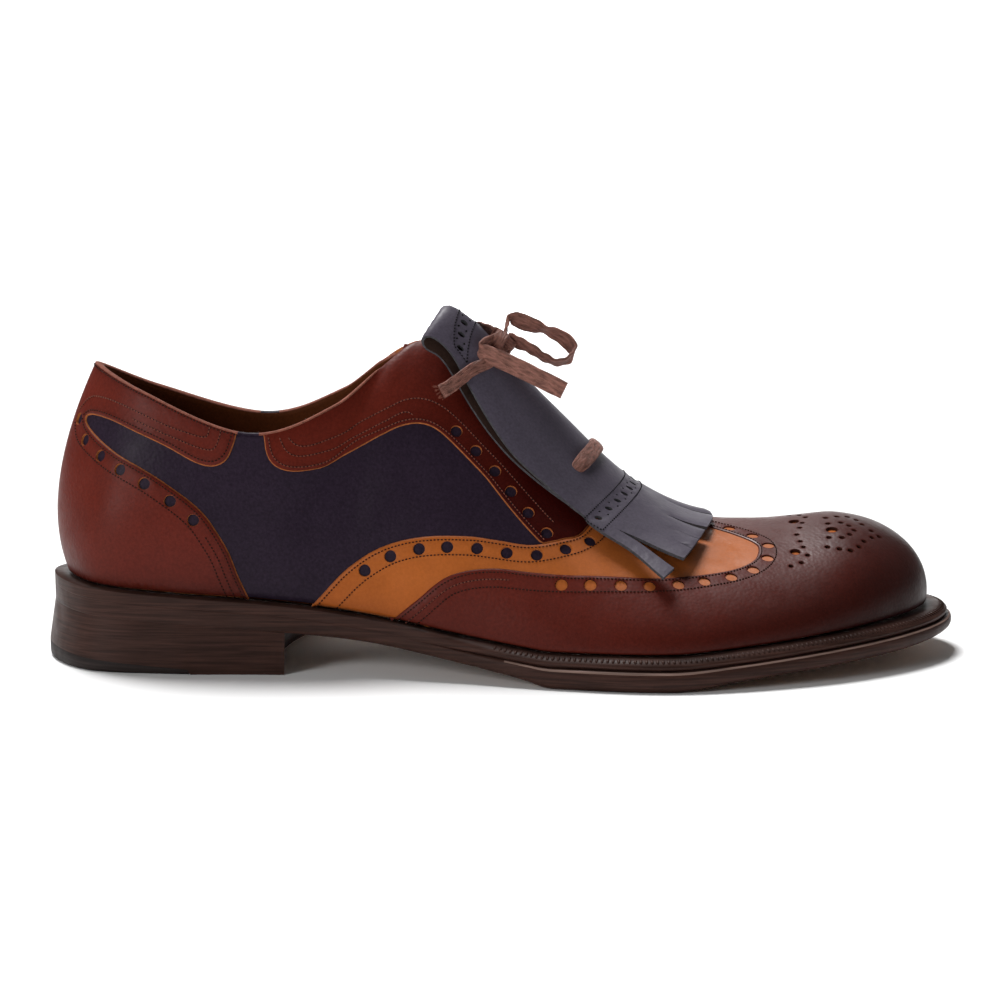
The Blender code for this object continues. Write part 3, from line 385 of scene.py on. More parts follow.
LACE_STRAND_FAR = table(Ribbon,
    (141.4, 8, 107, 40, 4.4), (144.5, 6, 107.7, 45, 4.4), (147.8, 3.5, 106.8, 50, 4.2),
    (151, 0, 105.4, 60, 4))

# Wraps of the knot: middle, direction along their ribbon's width, half sizes, ribbon's width and turns
Wrap = namedtuple("Wrap", "x y z along_x along_z high deep width turns")
KNOT_WRAPS = [
    Wrap(150.4, -3.2, 104.0, 0.85, -0.5, 3.0, 3.6, 4.6, 1.2),
    Wrap(153.2, -2.0, 103.2, 0.6, 0.8, 2.6, 3.0, 3.6, 1.1),
]
WRAP_COUNT = 50
WRAP_SHIFT = 0.8
FRAY_THREADS = 16
FRAY_LENGTH = 2.2
FRAY_WIDTH = 0.3
FRAY_SPREAD = 0.7
FRAY_SEED = 7
FRAY_STAND = 0.4

# Rows of stitches: places along the shoe and insets from the edge there
Inset = namedtuple("Inset", "x inset")
EDGE_ROW = [Inset(0, 1.1)]
FAR_ROW = [Inset(0, 6.0)]
WING_BACK_ROW = [Inset(0, 3.4)]
COUNTER_LOW_ROW = [Inset(0, 3.6)]
BAND_SHORT_ROW = [Inset(44, 3.0), Inset(56, 4.6)]
BAND_LONG_ROW = [Inset(44, 5.6), Inset(57, 8.4)]
COLLAR_ROW = 0.4
BAND_SHORT_START = 34.0
SHOE_END = 305.0
BACK_ROW_END = 155.0
COUNTER_ROW_TOP = 44.0
ROW_KEPT = 0.93
ROW_SOFT = 7
STITCH_LIFT = 0.08
BEAD_SEGMENTS = 6
BEAD_RINGS = 4
# Dark beads between the light stitches, painted shade of the needle holes: size and sink below the thread
HOLE_SHADE_BEAD = (0.5, 0.5, 0.2)
HOLE_SHADE_SINK = 0.2

# Seam of the welt: stitch length, width and height, and its row
WELT_STITCH = (2.2, 1.1, 0.7)
WELT_PITCH = 1.7
WELT_ROW = 1.7
WELT_DROP = 0.75
WELT_LEAN = 0.5
WELT_ROW_END = 5.6
WELT_ROW_COUNT = 600

# Finishes: noise scales per metre (per UV millimetre on the lace), value spans, bump depths and strengths
NOISE_SPAN = (0.3, 0.7)
DARKENING_SPAN = (0.15, 1.15)
# Span of the upward share over which the painted sheen rises
TOP_SHEEN_SPAN = (0.35, 0.95)
SPECKLE_DARK = 0.16
SPECKLE_LIGHT = 0.14
PORE_BUMP = (0.0003, 0.2)
DENT_BUMP = (0.0006, 0.08)
FIBRE_BUMP = (0.0003, 0.4)
TWIST_BUMP = (0.0002, 0.4)
STREAK_BUMP = (0.0003, 0.2)
WEAVE_BUMP = (0.0002, 0.5)
WRINKLE_BUMP = (0.0016, 0.9)
CLOUDS = 60.0
CLOUD_TINT = 0.85
WEAR = 38.0
WEAR_SHARE = 0.3
SPECKLES = 1100.0
PORES = 900.0
DENTS = 260.0
SHEEN = 130.0
FIBRES = 700.0
FIBRE_ENDS = 1800.0
THREAD_SHADES = 900.0
TWISTS = 3500.0
STREAKS = 900.0
STREAK_STRETCH = (0.06, 0.06, 1.6)
WAX = 160.0
WRINKLES = 1.5
WRINKLE_STRETCH = (0.16, 0.62, 1.0)
WEAVE = 2600.0

# Camera of the photograph, in scene metres and degrees
CAMERA_PLACE = (-0.00104, -0.630, 0.1471)
CAMERA_PITCH = 81.4
CAMERA_LENS = 69.84
CAMERA_NEAR = 0.01

# Floor, backdrop and light, in scene metres, degrees and watts
FLOOR_SIZE = 6.0
PAPER_TONE = (0.92, 0.92, 0.92)
WHITE = (1.0, 1.0, 1.0)
BACKDROP_PLACE = 1.6
BACKDROP_HALF = 0.9
BACKDROP_HIGH = 0.7
BACKDROP_GLOW = 1.1
SKY_STRENGTH = 0.10
Light = namedtuple("Light", "name kind place aim size power")
LIGHTS = [
    Light("overhead", "SUN", (-0.22, 0.42, 1.0), (0.0, 0.0, 0.0), math.radians(24), 4.2),
    Light("front softbox", "AREA", (-1.0, -0.85, 0.55), (-0.08, 0.0, 0.06), 0.5, 7.5),
]


def measure(name, description, millimetres):
    """Length property in scene metres."""
    return bpy.props.FloatProperty(
        name=name, description=description, default=millimetres * MM, min=0.0, precision=5, unit="LENGTH")


class ShoeSizes(bpy.types.PropertyGroup):
    """Sizes of the shoe's trim."""

    hole_radius: measure("Hole radius", "Radius of the punched holes", 2.0)
    stitch_pitch: measure("Stitch pitch", "Distance between stitches", 1.15)
    stitch_length: measure("Stitch length", "Length of one stitch", 0.85)
    stitch_width: measure("Stitch width", "Width of the thread", 0.5)


def tone(name, description, default):
    """Colour property with a colour picker."""
    return bpy.props.FloatVectorProperty(
        name=name, description=description, default=default, subtype="COLOR", size=3, min=0.0, max=1.0)


class ShoeColours(bpy.types.PropertyGroup):
    """Colours of the shoe's leathers, thread, lace and sole."""

    brown: tone("Brown leather", "Toe, facings and counter", (0.114, 0.0150, 0.0085))
    brown_dark: tone("Burnished brown", "Burnished toe and edges", (0.020, 0.0035, 0.0025))
    # Dark tone of the facings: painted shade beside the flap, and their burnish along welt and edges
    facing_dark: tone("Dark facing", "Facings beside the flap", (0.036, 0.0026, 0.0016))
    navy: tone("Navy leather", "Quarters", (0.0225, 0.0140, 0.0250))
    flap: tone("Flap leather", "Fringed flap", (0.078, 0.066, 0.090))
    flap_inside: tone("Flap inside", "Rough side of the flap", (0.030, 0.016, 0.012))
    tan: tone("Tan leather", "Vamp", (0.43, 0.113, 0.021))
    tan_dark: tone("Dark tan", "Shade of the tan leather", (0.26, 0.055, 0.007))
    cut_edge: tone("Cut edge", "Raw edges of the panels", (0.36, 0.108, 0.032))
    dark_edge: tone("Dark cut edge", "Inked edge of the toe wing", (0.05, 0.014, 0.008))
    flap_edge: tone("Flap edge", "Raw edge of the flap", (0.075, 0.072, 0.078))
    collar_edge: tone("Collar edge", "Folded edge of the collar", (0.27, 0.095, 0.065))
    thread: tone("Brown thread", "Stitches on vamp, toe wing and counter", (0.035, 0.011, 0.007))
    light_thread: tone("Light thread", "Stitches on the collar and the facings", (0.185, 0.058, 0.038))
    # Dark thread of the flap, also the painted shade of the needle holes
    flap_thread: tone("Flap thread", "Stitches on the flap", (0.010, 0.009, 0.011))
    sole: tone("Sole edge", "Welt, sole edge and heel", (0.036, 0.0162, 0.0122))
    # Painted highlight along the top edge of the sole
    worn_edge: tone("Worn edge", "Worn line along the top of the sole", (0.17, 0.11, 0.09))
    tread: tone("Tread", "Underside of the sole", (0.20, 0.10, 0.05))
    lining: tone("Lining", "Inside of the shoe", (0.11, 0.030, 0.009))
    rubber: tone("Heel rubber", "Rear corner of the heel", (0.020, 0.014, 0.013))
    lace: tone("Lace", "Flat woven lace", (0.245, 0.106, 0.080))


def unit(vectors):
    """Vectors scaled to a length of one."""
    return vectors / np.maximum(np.linalg.norm(vectors, axis=-1, keepdims=True), TINY)


def lengths_along(points):
    """Length from the start of a line to each of its points."""
    return np.concatenate([[0], np.cumsum(np.linalg.norm(np.diff(points, axis=0), axis=1))])


def corners_of(values, faces):
    """Values at the first, second and third corners of triangles."""
    return values[faces[:, 0]], values[faces[:, 1]], values[faces[:, 2]]


def turn_of(a, b, c):
    """Twice the flat area of triangles, positive where they turn left."""
    return (b - a)[:, 0] * (c - a)[:, 1] - (b - a)[:, 1] * (c - a)[:, 0]


def in_space(spots):
    """Flat or spatial points as rows of three numbers."""
    return np.pad(spots, [(0, 0), (0, 3 - spots.shape[1])])


def near_tree(spots):
    """Search tree of flat or spatial points."""
    tree = KDTree(len(spots))
    for index, spot in enumerate(in_space(spots)):
        tree.insert(spot, index)
    tree.balance()
    return tree


def distance_to(targets, spots):
    """Distance from each place to the nearest of the targets."""
    tree = near_tree(targets)
    return np.array([tree.find(spot)[2] for spot in in_space(spots)])


def monotone(xs, ys, x):
    """Smooth curve through table points that never overshoots."""
    xs, ys, x = (np.asarray(part, float) for part in (xs, ys, x))
    run = np.diff(xs)
    slope = np.diff(ys) / run
    tangent = np.zeros(len(xs))
    same_way = slope[:-1] * slope[1:] > 0
    total = np.where(same_way, slope[:-1] + slope[1:], 1.0)
    tangent[1:-1] = np.where(same_way, 2 * slope[:-1] * slope[1:] / total, 0.0)
    tangent[0], tangent[-1] = slope[0], slope[-1]
    at = np.clip(np.searchsorted(xs, x) - 1, 0, len(run) - 1)
    share = np.clip((x - xs[at]) / run[at], 0, 1)
    start_pull = run[at] * tangent[at] * share * (1 - share) ** 2
    end_pull = run[at] * tangent[at + 1] * share ** 2 * (share - 1)
    return ys[at] + start_pull + (ys[at + 1] - ys[at]) * share ** 2 * (3 - 2 * share) + end_pull


PROFILE = Station(*np.transpose(SOLE_PROFILE))


def tread(x):
    """Height of the sole's underside."""
    return monotone(PROFILE.x, PROFILE.tread, x)


def seat(x):
    """Height of the welt's top, where the upper stands."""
    return monotone(PROFILE.x, PROFILE.seat, x)


def cubic(before, here, after, later, share):
    """Smooth run from one value to the next."""
    bend = 2 * before - 5 * here + 4 * after - later
    twist = -before + 3 * here - 3 * after + later
    return 0.5 * (2 * here + (after - before) * share + bend * share ** 2 + twist * share ** 3)


def spline(values, station):
    """Closed smooth curve through one row per section."""
    station = np.asarray(station, float)
    base = np.floor(station).astype(int)
    share = (station - base)[..., None]
    return cubic(*(values[(base + step) % AROUND] for step in (-1, 0, 1, 2)), share)


def control_points():
    """Four guide points of the wall per section, with its outward direction and ledge."""
    order = [(row, -1) for row in SECTIONS] + [(row, 1) for row in SECTIONS[-2:0:-1]]
    feather = np.array([(row.lateral_x, row.lateral_y) if side < 0 else (row.medial_x, row.medial_y)
                        for row, side in order], float)
    middle = feather.mean(axis=0)
    crest_x = [row.top_x for row in SECTIONS[:FACING_TOP + 1]]
    crest_z = [row.lateral_top for row in SECTIONS[:FACING_TOP + 1]]
    guides = []
    ways = []
    for index, (row, side) in enumerate(order):
        along = feather[(index + 1) % len(feather)] - feather[index - 1]
        way = np.array([-along[1], along[0]]) / np.hypot(*along)
        if way @ (feather[index] - middle) < 0:
            way = -way
        foot = np.array([*feather[index], seat(feather[index][0]) + GAP])
        top_z = row.lateral_top if side < 0 else row.medial_top
        top = np.array([row.top_x, row.top_y + side * row.half_open, top_z], float)
        number = SECTIONS.index(row)
        if number <= FACING_TOP:
            lean = (feather[index] - top[:2]) * row.crown * (1 if side < 0 else MEDIAL_FULLNESS)
            low, high = max(number - 1, TOE_POLE), max(min(number + 1, FACING_TOP), TOE_POLE + 1)
            slope = (crest_z[high] - crest_z[low]) / (crest_x[high] - crest_x[low])
            if number <= TOE_POLE:
                slope = slope / 2
            shoulder = top + np.array([lean[0], lean[1], lean[0] * slope + lean[1] * row.tilt])
        else:
            shoulder = top + row.flare * np.array([way[0], way[1], 0])
        shoulder[2] -= row.drop
        wall = foot + np.array([way[0] * row.bulge, way[1] * row.bulge, row.rise])
        guides.append((foot, wall, shoulder, top))
        ways.append(way)
    ledges = np.array([[row.ledge] for row, _ in order], float)
    return np.array(guides), np.array(ways), ledges


GUIDES, WAYS, LEDGES = control_points()


def section_along(station):
    """Section number from the toe tip, on either side."""
    around = np.asarray(station, float) % AROUND
    return np.minimum(around, AROUND - around)


def guide(station):
    """Guide points of the wall at any station, with one crest ahead of the collar."""
    foot, wall, shoulder, top = (spline(GUIDES[:, which], station) for which in range(4))
    foot[..., 2] = seat(foot[..., 0]) + GAP
    along = section_along(station)[..., None]
    shared = (top + spline(GUIDES[:, 3], -np.asarray(station, float))) / 2
    top = np.where(along <= TOE_POLE, GUIDES[0, 3], np.where(along <= FACING_TOP, shared, top))
    return foot, wall, shoulder, top


def outer(station, rise):
    """Point on the upper's outside by station and rise from feather (0) to top (1)."""
    foot, wall, shoulder, top = guide(station)
    rise = np.asarray(rise, float)[..., None]
    rest = 1 - rise
    low = rest ** 3 * foot + 3 * rest ** 2 * rise * wall
    return low + 3 * rest * rise ** 2 * shoulder + rise ** 3 * top


def edge_way(station):
    """Plan direction outward at any station."""
    return unit(spline(WAYS, station))


def plan_point(station, shift):
    """Feather line in plan, moved outward by a shift."""
    return spline(GUIDES[:, 0], station)[..., :2] + np.asarray(shift, float)[..., None] * edge_way(station)


def ledge(station):
    """How far the sole stands out past the upper."""
    return spline(LEDGES, station)[..., 0]


def top_rise(station):
    """Highest rise of the upper: 1, or less along the throat slit."""
    along = section_along(station)
    shoulder, top = guide(station)[2:]
    near_crest = 3 * np.linalg.norm(top - shoulder, axis=-1)
    ahead = (along - THROAT_END) * THROAT_FADE
    behind = 1 - (along - FACING_TOP) * THROAT_FADE
    share = np.clip(np.minimum(ahead, behind), 0, 1)
    return 1 - share * THROAT_HALF / near_crest


def chart(station, rise):
    """Place on the flat chart for a station and rise."""
    foot, _, _, top = guide(station)
    fold = edge_way(station) * CHART_SPREAD * (top[..., 2:] - foot[..., 2:])
    spread = foot[..., :2] - top[..., :2] + fold
    return top[..., :2] + (1 - np.asarray(rise, float)[..., None]) * spread


def grid_faces(rows, columns, closed):
    """Quads over rows of points; closed joins the last row to the first."""
    first = np.arange(rows if closed else rows - 1)
    after = (first + 1) % rows
    step = np.arange(columns - 1)
    a = first[:, None] * columns + step
    b = after[:, None] * columns + step
    return np.stack([a, b, b + 1, a + 1], axis=-1).reshape(-1, 4)


def crease_depth(spots):
    """Depth of the soft creases at chart places."""
    depth = np.zeros(len(spots))
    for row in CREASES:
        away = spots - chart(np.float64(row.station), np.float64(row.rise))
        turn = math.radians(row.turn)
        along = away @ np.array([math.cos(turn), math.sin(turn)]) / row.long
        across = away @ np.array([-math.sin(turn), math.cos(turn)]) / row.wide
        depth -= row.depth * np.exp(-along ** 2 - across ** 2)
    return depth


def corner_normals(points, faces):
    """Smooth normals of triangles at their corners."""
    a, b, c = corners_of(points, faces)
    across = np.cross(b - a, c - a)
    found = np.zeros_like(points)
    for which in range(3):
        np.add.at(found, faces[:, which], across)
    return unit(found)


class Ground:
    """The upper's outside as a fine chart to lay pieces on."""

    def __init__(self):
        stations = np.arange(AROUND * GROUND_STEPS) / GROUND_STEPS
        rises = np.linspace(0, 1, GROUND_RISES + 1)
        station, rise = np.meshgrid(stations, rises, indexing="ij")
        points = outer(station, rise).reshape(-1, 3)
        spots = chart(station, rise).reshape(-1, 2)
        quads = grid_faces(len(stations), len(rises), True)
        faces = np.concatenate([quads[:, (0, 1, 2)], quads[:, (0, 2, 3)]])
        keys = np.round(np.concatenate([points, spots], axis=1), 3)
        _, first, merged = np.unique(keys, axis=0, return_index=True, return_inverse=True)
        points, spots, faces = points[first], spots[first], merged.reshape(-1)[faces]
        area = turn_of(*corners_of(spots, faces))
        faces[area < 0] = faces[area < 0][:, ::-1]
        faces = faces[np.abs(area) > SLIVER]
        normals = corner_normals(points, faces)
        points = points + normals * (crease_depth(spots) - QUARTER_SINK)[:, None]
        self.points, self.spots, self.faces = points, spots, faces
        self.normals = corner_normals(points, faces)
        flat = [Vector((x, y, 0)) for x, y in spots]
        self.tree = BVHTree.FromPolygons(flat, [tuple(face) for face in faces.tolist()])

    def lay(self, spots):
        """Points and normals on the upper for chart places."""
        spots = np.asarray(spots, float).reshape(-1, 2)
        found = np.array([self.tree.find_nearest(Vector((x, y, 0)))[2] for x, y in spots])
        corners = self.faces[found]
        a, b, c = corners_of(self.spots, corners)
        whole = turn_of(a, b, c)
        share_b = turn_of(a, spots, c) / whole
        share_c = turn_of(a, b, spots) / whole
        shares = np.clip(np.stack([1 - share_b - share_c, share_b, share_c], axis=1), 0, 1)
        shares = shares / shares.sum(axis=1, keepdims=True)
        points = np.einsum("nk,nkd->nd", shares, self.points[corners])
        normals = np.einsum("nk,nkd->nd", shares, self.normals[corners])
        return points, unit(normals)


GROUND = Ground()


def stretch(spots):
    """How chart steps along x and y move on the upper."""
    spots = np.asarray(spots, float).reshape(-1, 2)
    ways = []
    for step in ((PROBE, 0), (0, PROBE)):
        ahead = GROUND.lay(spots + step)[0]
        behind = GROUND.lay(spots - step)[0]
        ways.append((ahead - behind) / (2 * PROBE))
    return np.stack(ways, axis=2)


def chart_step(spots, moves):
    """Chart steps that give real moves over the upper."""
    return np.stack([np.linalg.lstsq(way, move, rcond=None)[0] for way, move in zip(stretch(spots), moves)])


def run_of(line):
    """Direction along a chart line, on the upper."""
    return unit(np.gradient(GROUND.lay(line)[0], axis=0))


def beside(line, distance):
    """Chart line moved to its left over the upper by a real distance."""
    line = np.asarray(line, float)
    normals = GROUND.lay(line)[1]
    side = np.cross(normals, run_of(line))
    return line + chart_step(line, side * np.reshape(distance, (-1, 1)))


def even(line, step, points=None):
    """Flat line cut into equal real steps, on the upper by default."""
    line = np.asarray(line, float)
    points = GROUND.lay(line)[0] if points is None else points
    lengths = lengths_along(points)
    count = max(2, int(round(lengths[-1] / step)))
    wanted = np.linspace(0, lengths[-1], count + 1)
    return np.stack([np.interp(wanted, lengths, line[:, axis]) for axis in range(2)], axis=1)


def smooth_line(rows, pieces=8):
    """Rounded line through the rows of a table."""
    rows = np.array(rows, float)
    padded = np.concatenate([rows[:1], rows, rows[-1:]])
    share = np.arange(pieces)[:, None] / pieces
    line = [cubic(*padded[index:index + 4], share) for index in range(len(rows) - 1)]
    return np.concatenate(line + [rows[-1:]])


def on_chart(line, side=-1):
    """Chart line of stations and rises on the lateral (-1) or medial (1) side."""
    line = np.asarray(line, float)
    return chart(line[:, 0] * -side, line[:, 1])


def across_crest(rows):
    """Chart line of stations and shares down from the crest, lateral positive."""
    rows = smooth_line(rows)
    return chart(np.where(rows[:, 1] >= 0, rows[:, 0], -rows[:, 0]), 1 - np.abs(rows[:, 1]))


def wing_edge():
    """Back edge of the toe wing, lateral to medial."""
    lateral = [(row.station, 1 - row.rise) for row in WING_LATERAL]
    medial = [(row.station, row.rise - 1) for row in WING_MEDIAL]
    return even(across_crest(lateral + medial), LINE_STEP)


def vamp_skew(rise):
    """How far the vamp's back edge is set forward medially, by rise."""
    return VAMP_SKEW * np.minimum(1.0, SKEW_SLOPE * rise)


def vamp_edge():
    """Back edge of the vamp, lateral to medial."""
    near = [(row.station, 1 - row.rise) for row in VAMP_BACK]
    far = [(along - vamp_skew(1 - abs(aside)), -aside) for along, aside in reversed(near[:-1])]
    return even(across_crest(near + far), LINE_STEP)


def softened(line, width):
    """Chart line averaged over some points, with its ends kept."""
    share = np.ones(width) / width
    soft = np.stack([np.convolve(line[:, axis], share, "valid") for axis in range(2)], axis=1)
    return even(np.concatenate([line[:1], soft, line[-1:]]), LINE_STEP)


def drawn_edge(rows, side, soft):
    """Softened chart line through an edge table on one side."""
    return softened(even(smooth_line(on_chart(rows, side)), LINE_STEP), soft)


def counter_edges(side):
    """Front edge of the counter and lower edge of its band, parted at the tip."""
    line = even(on_chart(smooth_line(COUNTER_FRONT + [COUNTER_TIP] + COLLAR_LOW), side), TIP_STEP)
    tip = nearest_on(line, on_chart([COUNTER_TIP], side))
    return line[:tip + 1], line[tip:]


def inside_ring(spots, ring):
    """Which chart places lie within a ring."""
    within = np.zeros(len(spots), bool)
    x, y = spots[:, 0], spots[:, 1]
    for (x0, y0), (x1, y1) in zip(np.roll(ring, 1, axis=0), ring):
        if y0 == y1:
            continue
        crosses = (y0 > y) != (y1 > y)
        within ^= crosses & (x < x0 + (y - y0) * (x1 - x0) / (y1 - y0))
    return within


def field_in(ring, holes, spacing):
    """Places spread evenly inside a flat ring and outside its holes."""
    low, high = ring.min(axis=0), ring.max(axis=0)
    field = []
    for number, y in enumerate(np.arange(low[1], high[1], spacing * math.sqrt(3) / 2)):
        xs = np.arange(low[0] + number % 2 * spacing / 2, high[0], spacing)
        field.append(np.stack([xs, np.full(len(xs), y)], axis=1))
    field = np.concatenate(field)
    field = field[inside_ring(field, ring)]
    for hole in holes:
        field = field[~inside_ring(field, hole)]
    return field


def triangles_in(ring, holes, spacing, lines=()):
    """Places, triangles and rim numbers (or -1) of a flat ring with holes."""
    fixed = [ring, *holes]
    starts = np.cumsum([0] + [len(loop) for loop in fixed])
    borders = []
    for start, loop in zip(starts, fixed):
        borders += [(start + index, start + (index + 1) % len(loop)) for index in range(len(loop))]
    kept = np.concatenate([*fixed, *lines])
    field = field_in(ring, holes, spacing)
    spots = np.concatenate([kept, field[distance_to(kept, field) > FIELD_ROOM * spacing]])
    coords = [Vector(spot) for spot in spots]
    found = delaunay_2d_cdt(coords, borders, [list(range(len(ring)))], 1, SLIVER)
    places = np.array([tuple(spot) for spot in found[0]])
    source = np.array([ids[0] if ids else -1 for ids in found[3]])
    owner = np.full(len(spots), -1)
    for number, start in enumerate(starts[1:-1]):
        owner[start:starts[number + 2]] = number
    faces = np.array([face for face in found[2] if len(face) == 3])
    owners = np.where(source[faces] >= 0, owner[source[faces]], -1)
    in_hole = (owners[:, 0] >= 0) & (owners[:, 0] == owners[:, 1]) & (owners[:, 1] == owners[:, 2])
    faces = faces[~in_hole]
    turn = turn_of(*corners_of(places, faces))
    faces[turn < 0] = faces[turn < 0][:, ::-1]
    faces = faces[np.abs(turn) > HAIR]
    return places, faces, np.where(source < starts[-1], source, -1)


def round_hole(spot, radius, sides=HOLE_SIDES):
    """Chart ring of a round hole of a real radius."""
    spot = np.asarray(spot, float)
    normal = GROUND.lay([spot])[1][0]
    way = stretch([spot])[0]
    first = way[:, 0] / np.linalg.norm(way[:, 0])
    second = np.cross(normal, first)
    turns = 2 * math.pi * np.arange(sides) / sides
    moves = radius * (np.cos(turns)[:, None] * first + np.sin(turns)[:, None] * second)
    return spot + np.linalg.lstsq(way, moves.T, rcond=None)[0].T


def metres(points):
    """Millimetre points in scene metres about the shoe's middle."""
    return (np.asarray(points, float) - CENTRE) * MM


def placed(name, data):
    """Object of mesh, light or camera data in the scene."""
    made = bpy.data.objects.new(name, data)
    bpy.context.scene.collection.objects.link(made)
    return made


def add_piece(name, points, faces, materials, slots=None, marks=None, sharp=None):
    """Smooth-shaded object from millimetre points; marks are point attributes."""
    mesh = bpy.data.meshes.new(name)
    mesh.from_pydata(metres(points).tolist(), [], [tuple(int(i) for i in face) for face in faces])
    for material in materials:
        mesh.materials.append(material)
    if slots is not None:
        mesh.polygons.foreach_set("material_index", np.asarray(slots, int))
    for key, values in (marks or {}).items():
        layer = mesh.attributes.new(key, "FLOAT", "POINT")
        layer.data.foreach_set("value", np.asarray(values, float))
    mesh.polygons.foreach_set("use_smooth", np.ones(len(mesh.polygons), bool))
    if sharp is not None:
        mesh.set_sharp_from_angle(angle=math.radians(sharp))
    mesh.validate()
    return placed(name, mesh)


def rim_edges(faces):
    """Edges that belong to one triangle, in that triangle's own direction."""
    pairs = np.concatenate([faces[:, (0, 1)], faces[:, (1, 2)], faces[:, (2, 0)]])
    keys = np.sort(pairs, axis=1)
    _, index, count = np.unique(keys, axis=0, return_index=True, return_counts=True)
    return pairs[index[count == 1]]


def thick_sheet(points, under, faces):
    """Points, faces and rim flags of a closed body between two skins."""
    count = len(points)
    edges = rim_edges(faces)
    walls = np.stack([edges[:, 1], edges[:, 0], edges[:, 0] + count, edges[:, 1] + count], axis=1)
    every = [tuple(face) for face in faces] + [tuple(face[::-1] + count) for face in faces]
    every += [tuple(wall) for wall in walls]
    flags = [0] * (2 * len(faces)) + [1] * len(walls)
    return np.concatenate([points, under]), every, flags


def finish_piece(piece, slot, *nodes):
    """Tie a piece to the body and hide the solids that it stands for; the slot is not used."""
    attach(piece, "root")
    if nodes:
        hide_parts(*nodes)
    return piece


def panel(name, ring, holes, lift, finishes, slot, nodes, burnish):
    """Leather panel with punched holes, rounded edges and cut sides."""
    rings = [round_hole(spot, radius) for spot, radius in holes]
    collars = [round_hole(spot, radius + EDGE_BAND) for spot, radius in holes]
    places, faces, rim = triangles_in(ring, rings, PANEL_SPACING, [*collars, beside(ring, EDGE_BAND)])
    points, normals = GROUND.lay(places)
    away = distance_to(ring, places)
    heights = np.where(rim >= len(ring), lift - HOLE_DROP, np.where(rim >= 0, lift - EDGE_DROP, lift))
    top = points + normals * heights[:, None]
    slanted = [beside(ring, -EDGE_SLANT)]
    slanted += [round_hole(spot, radius - HOLE_SLANT) for spot, radius in holes]
    low_places = np.where((rim >= 0)[:, None], np.concatenate(slanted)[rim], places)
    low_points, low_normals = GROUND.lay(low_places)
    under = low_points - low_normals * PANEL_SINK
    body, every, flags = thick_sheet(top, under, faces)
    # Darkening by place: burnish, and on the facings painted shade beside the flap
    shade = burnish(points, away)
    # Painted sheen: faces turned up get more specular, the cut rim none
    polish = np.where(rim >= 0, 0, np.clip(normals[:, 2], 0, 1))
    marks = {"burnish": np.concatenate([shade, shade]), "polish": np.concatenate([polish, polish])}
    made = add_piece(name, body, every, finishes, flags, marks, PANEL_SHARP)
    return finish_piece(made, slot, *nodes)


def tinted(colour, share):
    """Colour made darker or lighter by a share."""
    return tuple(share * part for part in colour)


class Wiring:
    """Node tree whose nodes are made with their settings and sockets."""

    def __init__(self, tree):
        self.tree = tree

    def feed(self, socket, value):
        """Feed a socket from a socket, a colour or a plain value."""
        if isinstance(value, bpy.types.NodeSocket):
            self.tree.links.new(value, socket)
        elif socket.type == "RGBA":
            socket.default_value = (*value, 1.0)
        else:
            socket.default_value = value

    def node(self, kind, **settings):
        """Node with its plain settings and its sockets fed."""
        made = self.tree.nodes.new(kind)
        for key, value in settings.items():
            socket = key.replace("_", " ")
            if socket in made.inputs:
                self.feed(made.inputs[socket], value)
            else:
                setattr(made, key, value)
        return made


class Coat(Wiring):
    """Node tree of one finish with its Principled shader."""

    def __init__(self, name, colour):
        self.material = bpy.data.materials.new(name)
        self.material.use_nodes = True
        self.material.diffuse_color = (*colour, 1.0)
        super().__init__(self.material.node_tree)
        self.shader = self.tree.nodes["Principled BSDF"]

    def set(self, **values):
        """Feed the shader's sockets, named with underscores for spaces."""
        for key, value in values.items():
            self.feed(self.shader.inputs[key.replace("_", " ")], value)

    def places(self):
        """Object coordinates."""
        return self.node("ShaderNodeTexCoord").outputs["Object"]

    def drawn(self, places, scale):
        """Places stretched by a scale along each axis."""
        return self.node("ShaderNodeMapping", Vector=places, Scale=scale).outputs["Vector"]

    def noise(self, scale, detail=4.0, roughness=0.55, places=None):
        """Noise over the shoe at a scale per metre."""
        where = self.places() if places is None else places
        made = self.node("ShaderNodeTexNoise", Vector=where, Scale=scale,
                         Detail=detail, Roughness=roughness)
        return made.outputs["Fac"]

    def ramp(self, value, low, high, dark, light):
        """Colour between two tones by a value."""
        made = self.node("ShaderNodeValToRGB", Fac=value)
        for stop, place, colour in zip(made.color_ramp.elements, (low, high), (dark, light)):
            stop.position = place
            stop.color = (*colour, 1.0)
        return made.outputs["Color"]

    def span(self, value, low, high, start, end):
        """Value mapped from one range to another."""
        limits = {"From Min": low, "From Max": high, "To Min": start, "To Max": end}
        return self.node("ShaderNodeMapRange", Value=value, **limits).outputs["Result"]

    def blend(self, share, first, second):
        """Two colours mixed by a share; each is a tone or a socket."""
        made = self.node("ShaderNodeMix", data_type="RGBA")
        self.feed(made.inputs[0], share)
        for socket, colour in zip([item for item in made.inputs if item.type == "RGBA"], (first, second)):
            self.feed(socket, colour)
        return [item for item in made.outputs if item.type == "RGBA"][0]

    def bump(self, value, depth, strength, under=None):
        """Bump of a depth in metres from a value, over another bump if given."""
        made = self.node("ShaderNodeBump", Height=value, Distance=depth, Strength=strength)
        if under is not None:
            self.feed(made.inputs["Normal"], under)
        return made.outputs["Normal"]

    def mark(self, name):
        """Value of a point attribute."""
        return self.node("ShaderNodeAttribute", attribute_name=name).outputs["Fac"]


